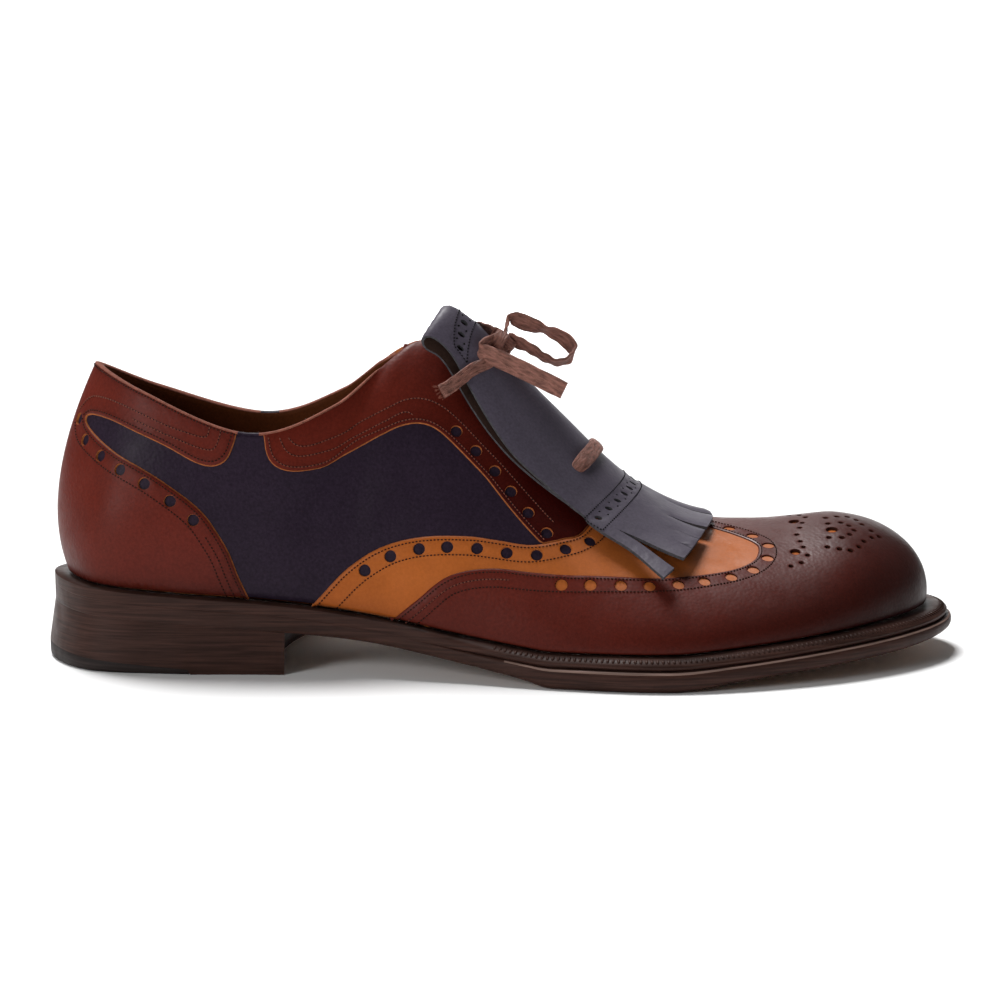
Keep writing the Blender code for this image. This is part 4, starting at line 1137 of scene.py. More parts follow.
def leather(name, light, burnished=None, gloss=0.42, shine=0.1, polish=0.25, grain=1.0):
    """Grained leather with burnish (on the facings painted shade beside the flap), and painted sheen: more
    specular where it faces up.
    """
    coat = Coat(name, light)
    colour = coat.ramp(coat.noise(CLOUDS, 4.0, 0.6), *NOISE_SPAN, tinted(light, CLOUD_TINT), light)
    # Blend toward the dark tone by the darkening mark: burnish, and on the facings painted shade
    if burnished is not None:
        recoloured = coat.node("ShaderNodeMath", operation="MULTIPLY_ADD")
        for socket, value in zip(recoloured.inputs, (coat.noise(WEAR, 3.0), WEAR_SHARE, coat.mark("burnish"))):
            coat.feed(socket, value)
        colour = coat.blend(coat.span(recoloured.outputs[0], *DARKENING_SPAN, 0.0, 1.0), colour, burnished)
    speckle = coat.span(coat.noise(SPECKLES, 2.0, 0.7), *NOISE_SPAN,
                        1 - SPECKLE_DARK * grain, 1 + SPECKLE_LIGHT * grain)
    spotted = coat.node("ShaderNodeVectorMath", operation="SCALE", Vector=colour, Scale=speckle)
    pores = coat.node("ShaderNodeTexVoronoi", feature="SMOOTH_F1", Scale=PORES, Vector=coat.places())
    fine = coat.bump(pores.outputs["Distance"], PORE_BUMP[0], PORE_BUMP[1] * grain)
    # Specular rises where the surface faces up: painted sheen toward the overhead light
    coat.set(Base_Color=spotted.outputs["Vector"],
             Normal=coat.bump(coat.noise(DENTS, 2.0), DENT_BUMP[0], DENT_BUMP[1] * grain, fine),
             Roughness=coat.span(coat.noise(SHEEN), *NOISE_SPAN, gloss - 0.06, gloss + 0.08),
             Specular_IOR_Level=coat.span(coat.mark("polish"), *TOP_SHEEN_SPAN, shine, shine + polish))
    return coat.material


def cut_leather(name, colour):
    """Raw cut edge with short fibres."""
    coat = Coat(name, colour)
    coat.set(Base_Color=coat.ramp(coat.noise(FIBRES, 3.0), 0.35, 0.7, tinted(colour, 0.6), colour),
             Normal=coat.bump(coat.noise(FIBRE_ENDS, 2.0), *FIBRE_BUMP),
             Roughness=0.75, Specular_IOR_Level=0.08)
    return coat.material


def thread_cloth(name, colour):
    """Twisted sewing thread."""
    coat = Coat(name, colour)
    coat.set(Base_Color=coat.ramp(coat.noise(THREAD_SHADES, 2.0), 0.35, 0.65, tinted(colour, 0.65), colour),
             Normal=coat.bump(coat.noise(TWISTS, 2.0), *TWIST_BUMP), Roughness=0.7, Specular_IOR_Level=0.1)
    return coat.material


def edge_finish(name, colour, gloss=0.4):
    """Waxed sole edge with fine lines along its layers."""
    coat = Coat(name, colour)
    streaks = coat.noise(STREAKS, 3.0, places=coat.drawn(coat.places(), STREAK_STRETCH))
    coat.set(Base_Color=coat.ramp(streaks, 0.35, 0.72, tinted(colour, 0.75), tinted(colour, 1.6)),
             Normal=coat.bump(streaks, *STREAK_BUMP),
             Roughness=coat.span(coat.noise(WAX, 3.0), *NOISE_SPAN, gloss - 0.06, gloss + 0.12),
             Specular_IOR_Level=0.1)
    return coat.material


def woven(name, colour):
    """Crumpled flat lace with wrinkles along its UV map, painted shade and highlight along them, and a fine
    weave.
    """
    coat = Coat(name, colour)
    along = coat.node("ShaderNodeUVMap", uv_map="ribbon").outputs["UV"]
    wrinkles = coat.noise(WRINKLES, 4.0, 0.6, coat.drawn(along, WRINKLE_STRETCH))
    fine = coat.bump(coat.noise(WEAVE, 2.0, 0.7), *WEAVE_BUMP)
    # Colour darker and lighter with the wrinkles: painted shade in their hollows and painted highlight on
    # their ridges
    coat.set(Base_Color=coat.ramp(wrinkles, 0.34, 0.66, tinted(colour, 0.5), tinted(colour, 1.35)),
             Normal=coat.bump(wrinkles, *WRINKLE_BUMP, fine), Roughness=0.6, Specular_IOR_Level=0.25)
    return coat.material


# Finishes by name: maker, tones and settings
FINISHES = {
    # Sheen settings for faces turned up give painted sheen
    "brown leather": (leather, "brown brown_dark", {}),
    # The facings' dark tone is painted shade beside the flap, over their burnish
    "facing leather": (leather, "brown facing_dark", {"shine": 0.05, "polish": 0.12}),
    "navy leather": (leather, "navy", {"shine": 0.07, "polish": 0.3, "grain": 1.5}),
    "flap leather": (leather, "flap", {"gloss": 0.5, "shine": 0.08, "polish": 0.3, "grain": 0.9}),
    "flap inside": (leather, "flap_inside", {"gloss": 0.8, "shine": 0.05, "polish": 0.0}),
    "tan leather": (leather, "tan tan_dark", {"gloss": 0.38, "polish": 0.7, "grain": 0.5}),
    "lining leather": (leather, "lining", {"gloss": 0.65, "shine": 0.05, "polish": 0.0}),
    "tread leather": (leather, "tread", {"gloss": 0.6}),
    "cut edge": (cut_leather, "cut_edge", {}),
    "dark edge": (cut_leather, "dark_edge", {}),
    "flap edge": (cut_leather, "flap_edge", {}),
    "collar edge": (cut_leather, "collar_edge", {}),
    "brown thread": (thread_cloth, "thread", {}),
    "light thread": (thread_cloth, "light_thread", {}),
    "flap thread": (thread_cloth, "flap_thread", {}),
    "sole edge": (edge_finish, "sole", {}),
    # Painted highlight along the sole's top edge
    "worn edge": (edge_finish, "worn_edge", {"gloss": 0.5}),
    "heel rubber": (edge_finish, "rubber", {"gloss": 0.5}),
    "lace cloth": (woven, "lace", {}),
}


def surface(name):
    """Material of one of the shoe's finishes, made on first use."""
    found = bpy.data.materials.get(name)
    if found is None:
        maker, tones, settings = FINISHES[name]
        colours = [getattr(bpy.context.scene.shoe_colours, key) for key in tones.split()]
        found = maker(name, *colours, **settings)
    return found


def turned_out(piece, weld=False):
    """Turn a piece's faces outward, after a weld where asked."""
    form = bmesh.new()
    form.from_mesh(piece.data)
    if weld:
        bmesh.ops.remove_doubles(form, verts=form.verts, dist=WELD * MM)
        bmesh.ops.dissolve_degenerate(form, edges=form.edges, dist=WELD * MM / 10)
    bmesh.ops.recalc_face_normals(form, faces=form.faces)
    form.to_mesh(piece.data)
    form.free()
    return piece


def ring_faces(count, sides, closed=False):
    """Quads between rings of equal length."""
    ring, side = np.meshgrid(np.arange(count if closed else count - 1), np.arange(sides), indexing="ij")
    here, there = ring * sides, (ring + 1) % count * sides
    after = (side + 1) % sides
    corners = np.stack([here + side, here + after, there + after, there + side], axis=-1)
    return corners.reshape(-1, 4).tolist()


def tube_faces(count, sides):
    """Quads of a tube of rings, with its two ends closed."""
    last = (count - 1) * sides
    return ring_faces(count, sides) + [list(range(sides)), list(range(last, last + sides))]


def feather_station(spot, side):
    """Station on one side's feather line nearest to a chart place."""
    stations = np.linspace(0, LAST, FEATHER_COUNT) * -side
    line = chart(stations, np.full(len(stations), PANEL_LOW))
    return stations[nearest_on(line, spot)]


def feather_between(first, second):
    """Feather line from one station to another."""
    count = max(3, int(abs(second - first) * FEATHER_STEPS))
    return chart(np.linspace(first, second, count), np.full(count, PANEL_LOW))


def on_ground(line):
    """The chart places that lie on the upper."""
    away = [GROUND.tree.find_nearest(Vector(spot))[3] for spot in in_space(line)]
    return line[np.array(away) < ON_GROUND]


def nearest_on(line, place):
    """Number of the line's point nearest to a chart place."""
    return int(np.argmin(np.linalg.norm(line - place, axis=1)))


def punched_row(line, row, first_side, last_side, radius):
    """Evenly spaced holes along a chart line, between the row's ends."""
    fine = even(line, HOLE_STEP)
    places = (on_chart([row.first], first_side), on_chart([row.last], last_side))
    first, last = sorted(nearest_on(fine, place) for place in places)
    count = max(2, round((last - first) * HOLE_STEP / row.pitch) + 1)
    picks = first + np.linspace(0, last - first, count).round().astype(int)
    return [(spot, radius) for spot in fine[picks]]


class Rows:
    """Chart lines of the panels' edges."""

    def __init__(self):
        self.wing = wing_edge()
        self.vamp = vamp_edge()
        self.facing = {side: drawn_edge(FACING_LOW, side, FACING_SOFT) for side in (-1, 1)}
        self.counter = {side: counter_edges(side) for side in (-1, 1)}
        stations = np.linspace(COLLAR_START, AROUND - COLLAR_START, COLLAR_COUNT)
        self.collar = even(chart(stations, np.ones(COLLAR_COUNT)), LINE_STEP)


ROWS = Rows()


def medallion():
    """Chart places and radii of the toe's punched pattern."""
    turn = math.radians(MEDALLION_TURN)
    ahead = np.array([math.cos(turn), math.sin(turn)])
    aside = np.array([math.sin(turn), -math.cos(turn)])
    plan = []
    for row in MEDALLION_MIDDLE:
        plan.append((MEDALLION_PLACE + row.ahead * ahead, row.radius))
    for row in MEDALLION_PAIRS:
        for side in (-1, 1):
            along = row.ahead + (MEDALLION_SKEW * row.aside if side < 0 else 0)
            plan.append((MEDALLION_PLACE + along * ahead + side * row.aside * aside, row.radius))
    flat = near_tree(GROUND.points[:, :2])
    spots = []
    for place, radius in plan:
        near = [index for _, index, _ in flat.find_n((*place, 0), MEDALLION_NEAR)]
        high = [index for index in near if GROUND.normals[index][2] > MEDALLION_UP]
        away = np.linalg.norm(GROUND.points[high][:, :2] - place, axis=1)
        shares = 1 / (away + MEDALLION_SOFT) ** 3
        start = (GROUND.spots[high] * shares[:, None]).sum(axis=0) / shares.sum()
        for _ in range(MEDALLION_PASSES):
            away = place - GROUND.lay([start])[0][0][:2]
            start = start + chart_step([start], [np.array([*away, 0.0])])[0]
        spots.append((start, radius))
    return spots


def burnish_and_shade_along(row, values):
    """Share of a darkening that grows along its run: burnish, and on the facings painted shade."""
    return np.clip((values - row.start) / row.run, 0, 1)


def toe_shade(points, _):
    """Burnish of the toe wing: darker toward the tip and along the welt."""
    tip = TOE_BURNISH.strength * burnish_and_shade_along(TOE_BURNISH, points[:, 0]) ** TOE_BURNISH_BEND
    low = TOE_LOW_BURNISH.strength * (1 - burnish_and_shade_along(TOE_LOW_BURNISH, points[:, 2]))
    return np.clip(tip + low, 0, 1)


def low_shade(points, away):
    """Slight burnish along the welt and the panel's edges."""
    low = 1 - burnish_and_shade_along(LOW_BURNISH, points[:, 2] - seat(points[:, 0]))
    rim = 1 - burnish_and_shade_along(RIM_BURNISH, away)
    return LOW_BURNISH.strength * low + RIM_BURNISH.strength * rim


def facing_flap_shade_and_burnish(points, away):
    """Painted shade on a facing, deeper toward the vamp beside the flap, over the burnish along its welt
    and edges.
    """
    return FACING_FLAP_SHADE.strength * burnish_and_shade_along(FACING_FLAP_SHADE, points[:, 0]) + low_shade(points, away)


class SHOE_OT_quarters(bpy.types.Operator):
    """Make the navy quarters with their lining and the rolled collar"""

    bl_idname = "shoe.quarters"
    bl_label = "Quarters and collar"

    def execute(self, context):
        stations = np.arange(AROUND * QUARTER_STEPS) / QUARTER_STEPS
        shares = np.linspace(0, 1, QUARTER_RISES + 1)
        station, share = np.meshgrid(stations, shares, indexing="ij")
        rise = PANEL_LOW + (top_rise(station) - PANEL_LOW) * share
        points = GROUND.lay(chart(station, rise))[0]
        faces = grid_faces(len(stations), len(shares), True)
        under_wing = points[faces][:, :, 0].mean(axis=1) > TOE_BACKING
        inside = [surface("lining leather"), surface("collar edge")]
        leathers = [surface("navy leather"), *inside, surface("tan leather"), *inside]
        made = turned_out(add_piece("quarters", points, faces, leathers, 3 * under_wing), weld=True)
        middle = Vector(metres(QUARTER_MIDDLE))
        if sum((face.center - middle).dot(face.normal) * face.area for face in made.data.polygons) < 0:
            made.data.flip_normals()
        wall = made.modifiers.new("wall", "SOLIDIFY")
        wall.thickness = WALL * MM
        wall.offset = -1
        wall.use_quality_normals = True
        wall.material_offset = 1
        wall.material_offset_rim = 2
        finish_piece(made, "navy_leather", "upper")
        finish_piece(collar_roll(), "brown_leather")
        return {"FINISHED"}


def collar_roll():
    """Rounded roll along the collar's edge, navy between the panels."""
    stations = np.linspace(ROLL_START, AROUND - ROLL_START, ROLL_COUNT)
    points, normals = GROUND.lay(chart(stations, np.ones(ROLL_COUNT)))
    run = unit(np.gradient(points, axis=0))
    across = unit(normals - run * (normals * run).sum(axis=1, keepdims=True))
    up = np.cross(run, across)
    up = up * np.sign(up[:, 2:])
    along = section_along(stations)
    in_gap = (along > NAVY_GAP[0]) & (along < NAVY_GAP[1])
    thick = np.where(in_gap, NAVY_ROLL, (COUNTER_LIFT + WALL) / 2 + ROLL_OVER)
    to_end = np.minimum(stations - ROLL_START, AROUND - ROLL_START - stations)
    ends = np.clip(to_end * ROLL_TAPER, ROLL_END, 1)
    turns = 2 * math.pi * np.arange(ROLL_SIDES)[None, :, None] / ROLL_SIDES
    wide = np.cos(turns) * (across * (thick * ends)[:, None])[:, None]
    high = np.sin(turns) * (up * (ROLL_HEIGHT * ends)[:, None])[:, None]
    rings = (points + across * (COUNTER_LIFT - WALL) / 2)[:, None] + wide + high
    slots = [*np.repeat(in_gap[:-1].astype(int), ROLL_SIDES), 0, 0]
    made = add_piece("collar_roll", rings.reshape(-1, 3), tube_faces(ROLL_COUNT, ROLL_SIDES),
                     [surface("collar edge"), surface("navy leather")], slots)
    return turned_out(made)


class SHOE_OT_panels(bpy.types.Operator):
    """Make the vamp, toe wing, facings and counter with their punched holes"""

    bl_idname = "shoe.panels"
    bl_label = "Punched panels"

    def execute(self, context):
        radius = context.scene.shoe_sizes.hole_radius / MM
        brown = [surface("brown leather"), surface("cut edge")]
        inked = [surface("brown leather"), surface("dark edge")]
        tan = [surface("tan leather"), surface("cut edge")]
        dark = [surface("facing leather"), surface("cut edge")]
        ring = np.concatenate([feather_between(feather_station(ROWS.wing[0], -1), 0),
                               feather_between(0, feather_station(ROWS.wing[-1], 1))[1:-1],
                               ROWS.wing[::-1]])
        row = on_ground(beside(ROWS.wing, -HOLE_INSET))
        holes = punched_row(row, WING_HOLES, -1, 1, radius) + medallion()
        panel("toe_wing_panel", ring, holes, WING_LIFT, inked, "brown_leather", ["toe_wing"], toe_shade)
        front = on_ground(beside(ROWS.wing, -WING_UNDERLAP))
        ring = np.concatenate([
            front,
            feather_between(feather_station(front[-1], 1), feather_station(ROWS.vamp[-1], 1))[1:-1],
            ROWS.vamp[::-1],
            feather_between(feather_station(ROWS.vamp[0], -1), feather_station(front[0], -1))[1:-1]])
        row = on_ground(beside(ROWS.vamp, -HOLE_INSET))
        holes = punched_row(row, VAMP_HOLES, -1, 1, radius)
        panel("vamp_panel", ring, holes, VAMP_LIFT, tan, "tan_leather", ["vamp"], low_shade)
        for side, name in ((-1, "facing_lateral"), (1, "facing_medial")):
            ring = facing_ring(side)
            row = on_ground(beside(ROWS.facing[side], -side * HOLE_INSET))
            holes = punched_row(row, FACING_HOLES, side, side, radius)
            panel(name + "_panel", ring, holes, FACING_LIFT, dark, "brown_leather", [name], facing_flap_shade_and_burnish)
        ring = counter_ring()
        holes = []
        for side in (-1, 1):
            row = on_ground(beside(ROWS.counter[side][0], -side * HOLE_INSET))
            holes += punched_row(row, COUNTER_HOLES, side, side, radius)
        panel("counter_panel", ring, holes, COUNTER_LIFT, brown, "brown_leather", ["counter"], low_shade)
        return {"FINISHED"}


def facing_ring(side):
    """Ring of a facing: lower edge, joint with the vamp and throat."""
    back = smooth_line(VAMP_BACK)
    end = FACING_LOW[-1]
    within = (back[:, 1] > end.rise) & (back[:, 1] < FACING_JOINT_TOP) & (back[:, 0] < end.station)
    rise = back[within, 1]
    skew = vamp_skew(rise) if side > 0 else 0.0
    joint = np.stack([back[within, 0] + FACING_JOINT - skew, rise], axis=1)
    stations = np.linspace(joint[-1][0] + FACING_THROAT, FACING_LOW[0].station, THROAT_COUNT)[:-1]
    throat = np.stack([stations, top_rise(stations)], axis=1)
    inner = [even(on_chart(line, side), RING_STEP) for line in (joint, throat)]
    ring = np.concatenate([ROWS.facing[side][:-1], *inner])
    return ring if side < 0 else ring[::-1]


def counter_ring():
    """Counter and collar band around the heel."""
    near_front, near_band = ROWS.counter[-1]
    far_front, far_band = ROWS.counter[1]
    first = feather_station(near_front[0], -1)
    last = AROUND + feather_station(far_front[0], 1)
    return np.concatenate([near_front[:-1], near_band, ROWS.collar[1:-1], far_band[::-1], far_front[-2::-1],
                           feather_between(last, first)[1:-1]])


def welt_set_back(station):
    """How far the welt stays inside the sole's edge."""
    return WELT_STEP * np.clip((WAIST_FADE - section_along(station)) / WELT_STEP_RUN, 0, 1)


def rounded_rings(profile, station, out, low, high):
    """Rounded edge points at one station, between two heights."""
    rows = []
    for row in profile:
        kept = np.clip((row.fade - section_along(station)) / FADE_LENGTH, 0, 1)
        spot = plan_point(station, out + row.shift * kept)
        bottom, top = low(spot[0]), high(spot[0])
        rows.append((*spot, bottom + (top - bottom) * row.share))
    return rows


def sole_top(x):
    """Height of the sole's top, under the welt."""
    return seat(x) - WELT_THICKNESS - GAP


def half_rings(steps, rows):
    """Rings across the sole from toe to heel, from the edge points of one side."""
    along = np.arange(LAST * steps + 1) / steps
    return np.array([rows(station) + rows(-station)[::-1] for station in along])


def outsole_rows(station):
    """Edge points of the outsole at a station, from the tread up."""
    return rounded_rings(SOLE_ROUND, station, ledge(station), tread, sole_top)


def welt_rows(station):
    """Points around the welt at a station: its edge and its seat."""
    rows = rounded_rings(WELT_ROUND, station, ledge(station) - welt_set_back(station), sole_top, seat)
    inner = plan_point(station, GAP - WELT_SEAT)
    return rows + [(*inner, seat(inner[0])), (*inner, sole_top(inner[0]))]


def insole_rows(station):
    """Edge points of the foot bed at a station, from its underside up."""
    rows = []
    for row in INSOLE_ROUND:
        spot = plan_point(station, -WALL - INSIDE_GAP - row.inset)
        rows.append((*spot, seat(spot[0]) + GAP + row.height))
    return rows


class SHOE_OT_sole(bpy.types.Operator):
    """Make the outsole and the welt with rounded edges"""

    bl_idname = "shoe.sole"
    bl_label = "Sole and welt"

    def execute(self, context):
        rings = half_rings(SOLE_STEPS, outsole_rows)
        sides = len(rings[0])
        faces = ring_faces(len(rings), sides)
        ring, side = np.divmod([face[0] for face in faces], sides)
        # Painted highlight: a light strip along the outsole's top rounding, ahead of the waist
        recoloured = np.isin(side, HIGHLIGHT_LINES) & (ring < (WAIST_FADE - FADE_LENGTH) * SOLE_STEPS)
        slots = np.where(side == sides - 1, 1, np.where(recoloured, 2, 0))
        leathers = [surface("sole edge"), surface("tread leather"), surface("worn edge")]
        made = add_piece("outsole_body", rings.reshape(-1, 3), faces, leathers, slots)
        finish_piece(turned_out(made, weld=True), "sole_leather", "outsole")
        stations = np.arange(AROUND * SOLE_STEPS) / SOLE_STEPS
        rings = np.array([welt_rows(station) for station in stations])
        faces = ring_faces(len(rings), len(rings[0]), closed=True)
        made = add_piece("welt_strip", rings.reshape(-1, 3), faces, [surface("sole edge")])
        finish_piece(turned_out(made), "sole_leather", "welt")
        return {"FINISHED"}


def tip_top(x):
    """Top of the rubber corner over the floor."""
    return TIP_BACK + (TIP_FRONT - TIP_BACK) * x / TIP_LENGTH


def heel_outline(front, grow, hollow):
    """Closed plan ring of the heel, around its back and across its breast."""
    stations = np.linspace(front, AROUND - front, HEEL_COUNT)
    side = plan_point(stations, ledge(stations) + grow)
    share = np.linspace(0, 1, BREAST_COUNT)[1:-1, None]
    breast = side[-1] + (side[0] - side[-1]) * share
    breast[:, 0] -= hollow * (1 - (2 * share[:, 0] - 1) ** 2)
    return np.concatenate([side, breast])


def filled(ring):
    """Triangles over a plan ring."""
    coords = [Vector(spot[:2]) for spot in ring]
    border = [(index, (index + 1) % len(ring)) for index in range(len(ring))]
    found = delaunay_2d_cdt(coords, border, [list(range(len(ring)))], 1, PLAN_SLIVER)
    source = [ids[0] for ids in found[3]]
    return [tuple(source[index] for index in face) for face in found[2]]


def stacked(name, levels, finishes):
    """Closed body from plan rings with heights, level by level."""
    sides = len(levels[0])
    top = (len(levels) - 1) * sides
    faces = ring_faces(len(levels), sides) + filled(levels[0])
    faces += [tuple(index + top for index in face) for face in filled(levels[-1])]
    made = add_piece(name, np.array(levels).reshape(-1, 3), faces, finishes, sharp=ROUND_SHARP)
    return turned_out(made, weld=True)


class SHOE_OT_heel(bpy.types.Operator):
    """Make the stacked heel and its rubber corner"""

    bl_idname = "shoe.heel"
    bl_label = "Heel"

    def execute(self, context):
        flare = HEEL_FLARE - HEEL_INSET
        levels = []
        for share in HEEL_LEVELS:
            plan = heel_outline(HEEL_FRONT, flare * (1 - share), HEEL_HOLLOW)
            low = np.where(plan[:, 0] < TIP_LENGTH + GAP, tip_top(plan[:, 0]), 0.0)
            levels.append(np.column_stack([plan, low + (tread(plan[:, 0]) - low) * share]))
        made = stacked("heel_stack_body", levels, [surface("sole edge")])
        finish_piece(made, "sole_leather", "heel_stack")
        stations = np.linspace(HEEL_FRONT, LAST, TIP_COUNT)
        line = plan_point(stations, ledge(stations) + HEEL_FLARE)
        front = float(np.interp(-TIP_LENGTH, -line[:, 0], stations))
        levels = []
        for row in TIP_LEVELS:
            plan = heel_outline(front, flare - row.dent, 0.0)
            levels.append(np.column_stack([plan, tip_top(plan[:, 0]) * row.share]))
        made = stacked("heel_tip_body", levels, [surface("heel rubber")])
        finish_piece(made, "heel_rubber", "heel_tip")
        return {"FINISHED"}


def crest(x):
    """Crest point and its side-view normal at a place along the foot."""
    rows = SECTIONS[TOE_POLE:FACING_TOP + 1][::-1]
    xs = [row.top_x for row in rows]
    tops = [row.lateral_top for row in rows]
    slope = (monotone(xs, tops, x + CREST_SPAN) - monotone(xs, tops, x - CREST_SPAN)) / (2 * CREST_SPAN)
    normal = unit(np.stack([-slope, np.zeros_like(slope), np.ones_like(slope)], axis=-1))
    aside = monotone(xs, [row.top_y for row in rows], x)
    return np.stack([x, aside, monotone(xs, tops, x)], axis=-1), normal


class Arches:
    """Drop of the upper below its crest, across the foot."""

    def __init__(self):
        tree = BVHTree.FromPolygons([Vector(point) for point in GROUND.points],
                                    [tuple(face) for face in GROUND.faces.tolist()])
        self.reaches = np.arange(-ARCH_STEPS, ARCH_STEPS + 1) * ARCH_STEP
        self.table = np.array([self.measured(tree, float(x)) for x in range(ARCH_LOW, ARCH_HIGH + 1)])

    def measured(self, tree, x):
        """Offset and drop by arc length at one crest place."""
        spot, normal = crest(np.float64(x))
        sides = []
        for way in (-1, 1):
            rows = []
            for step in range(ARCH_STEPS):
                offset = way * (ARCH_STEP * step + ARCH_START)
                start = Vector(spot + ARCH_HEIGHT * normal + np.array([0, offset, 0]))
                hit = tree.ray_cast(start, Vector(-normal), ARCH_DEPTH)
                if hit[0] is None:
                    break
                drop = hit[3] - ARCH_HEIGHT
                if rows and drop - rows[-1][2] > ARCH_STEEPEST:
                    break
                length = rows[-1][0] + math.hypot(ARCH_STEP, drop - rows[-1][2]) if rows else ARCH_START
                rows.append((length, offset, drop))
            rows = np.array(rows)
            run = unit((rows[-1] - rows[-3])[1:])
            wanted = np.arange(1, ARCH_STEPS + 1) * ARCH_STEP
            over = np.maximum(0, wanted - rows[-1, 0])
            found = [np.interp(wanted, rows[:, 0], rows[:, axis]) + over * run[axis - 1] for axis in (1, 2)]
            sides.append(np.stack(found, axis=1))
        middle = min((sides[0][0][1] + sides[1][0][1]) / 2, QUARTER_SINK + ARCH_SLACK)
        return np.concatenate([sides[0][::-1], [[0.0, middle]], sides[1]])

    def at(self, crest_x, reach):
        """Offset and drop for crest places and signed arc lengths."""
        along = np.clip(crest_x - ARCH_LOW, 0, len(self.table) - ARCH_END)
        across = np.clip(reach / ARCH_STEP + ARCH_STEPS, 0, len(self.reaches) - ARCH_END)
        i, j = along.astype(int), across.astype(int)
        p, q = (along - i)[..., None], (across - j)[..., None]
        t = self.table
        here = (1 - q) * t[i, j] + q * t[i, j + 1]
        ahead = (1 - q) * t[i + 1, j] + q * t[i + 1, j + 1]
        return (1 - p) * here + p * ahead


ARCHES = Arches()


def over_crest(crest_x, past, lift, reach, above=0.0):
    """Points over the arch, lifted square to the upper and then along the crest's normal."""
    spot, normal = crest(crest_x)
    along = np.stack([-normal[..., 2], np.zeros_like(crest_x), normal[..., 0]], axis=-1)
    place = ARCHES.at(crest_x, reach)
    run = ARCHES.at(crest_x, reach + ARCH_SPAN) - ARCHES.at(crest_x, reach - ARCH_SPAN)
    sideways = np.array([0.0, 1.0, 0.0])
    square = unit(sideways * run[..., 1:] + normal * run[..., :1])
    close = np.minimum(lift, FLAP_CLEARANCE)[..., None]
    base = spot + along * past[..., None] - normal * place[..., 1:] + sideways * place[..., :1]
    return base + square * (close + above) + normal * (lift[..., None] - close)


class FlapSheet:
    """The flap's middle surface by length along and reach across."""

    def __init__(self):
        self.rows = smooth_line(FLAP, FLAP_CURVE)
        spine = over_crest(self.rows[:, 0], self.rows[:, 1], self.rows[:, 2], np.zeros(len(self.rows)))
        self.lengths = lengths_along(spine)

    def row(self, length):
        """Fold values at lengths along the flap."""
        return Fold(*(np.interp(length, self.lengths, column) for column in self.rows.T))

    def half(self, length):
        """Half width at lengths along the flap."""
        return self.row(length).half

    def length_at(self, crest_x):
        """Length along the upper layer at a crest place."""
        outer_rows = np.arange(len(self.rows)) >= FOLD_END * FLAP_CURVE
        return float(np.interp(crest_x, self.rows[outer_rows, 0], self.lengths[outer_rows]))

    def reach(self, length, share):
        """Reach across the flap for a share from lateral (-1) to medial (1)."""
        return self.half(length) * (share * (1 - FLAP_SHIFT) - FLAP_SHIFT)

    def points(self, spots, above=0.0):
        """Points of the flap for flat places of length and reach."""
        length, reach = spots[:, 0], spots[:, 1]
        crest_x, past, lift, half, sweep = self.row(length)
        share = np.clip((reach / half + FLAP_SHIFT) / (1 - FLAP_SHIFT), -FLAP_SHARE_LIMIT, FLAP_SHARE_LIMIT)
        down = np.clip((length - FRINGE_START) / (self.lengths[-1] - FRINGE_START), 0, 1)
        lift = lift + FRINGE_STAND * down * np.maximum(-share, 0)
        return over_crest(crest_x - sweep * np.abs(share) ** SWEEP_BEND, past, lift, reach, above)

    def normals(self, spots):
        """Directions square to the flap, outward on its upper layer."""
        ahead = self.points(spots + (NORMAL_SPAN, 0)) - self.points(spots - (NORMAL_SPAN, 0))
        aside = self.points(spots + (0, NORMAL_SPAN)) - self.points(spots - (0, NORMAL_SPAN))
        return unit(np.cross(ahead, aside))


SHEET = FlapSheet()


def flap_run(lengths, shares):
    """Flat places on the flap for lengths and shares across it."""
    return [(length, float(SHEET.reach(length, share))) for length, share in zip(lengths, shares)]


def flap_ring():
    """Flat outline of the flap with its fringe slits, as lengths and reaches."""
    total = SHEET.lengths[-1]
    lengths = np.linspace(0, total, int(total / FLAP_STEP))
    ring = flap_run(lengths, -np.ones(len(lengths)))
    half_end = SHEET.half(total)
    share = -1.0
    for slit in SLITS:
        start = SHEET.length_at(slit.apex)
        wide = slit.opening / 2 / half_end
        ring += end_run(total, share, slit.end_share - wide)
        steps = np.linspace(total, start, max(3, int((total - start) / FLAP_STEP)))
        down = (steps - start) / (total - start)
        middle = slit.share + (slit.end_share - slit.share) * down
        ring += flap_run(steps, middle - wide * down)
        ring += flap_run(steps[-2::-1], (middle + wide * down)[-2::-1])
        share = slit.end_share + wide
    ring += end_run(total, share, 1.0)
    ring += flap_run(lengths[::-1], np.ones(len(lengths)))
    ring += flap_run(np.zeros(FRINGE_STEPS - 2), np.linspace(1, -1, FRINGE_STEPS)[1:-1])
    return np.array(ring)


def end_run(total, first, last):
    """Points along the fringe's end between two shares, without its ends."""
    count = max(3, int(abs(last - first) * FRINGE_STEPS))
    return flap_run(np.full(count - 2, total), np.linspace(first, last, count)[1:-1])


def band_place(line, reach):
    """Flat place on a band's line at a reach across the flap."""
    half = SHEET.half(line.length)
    return np.array([line.length - line.bow * (reach / half) ** 2, reach])


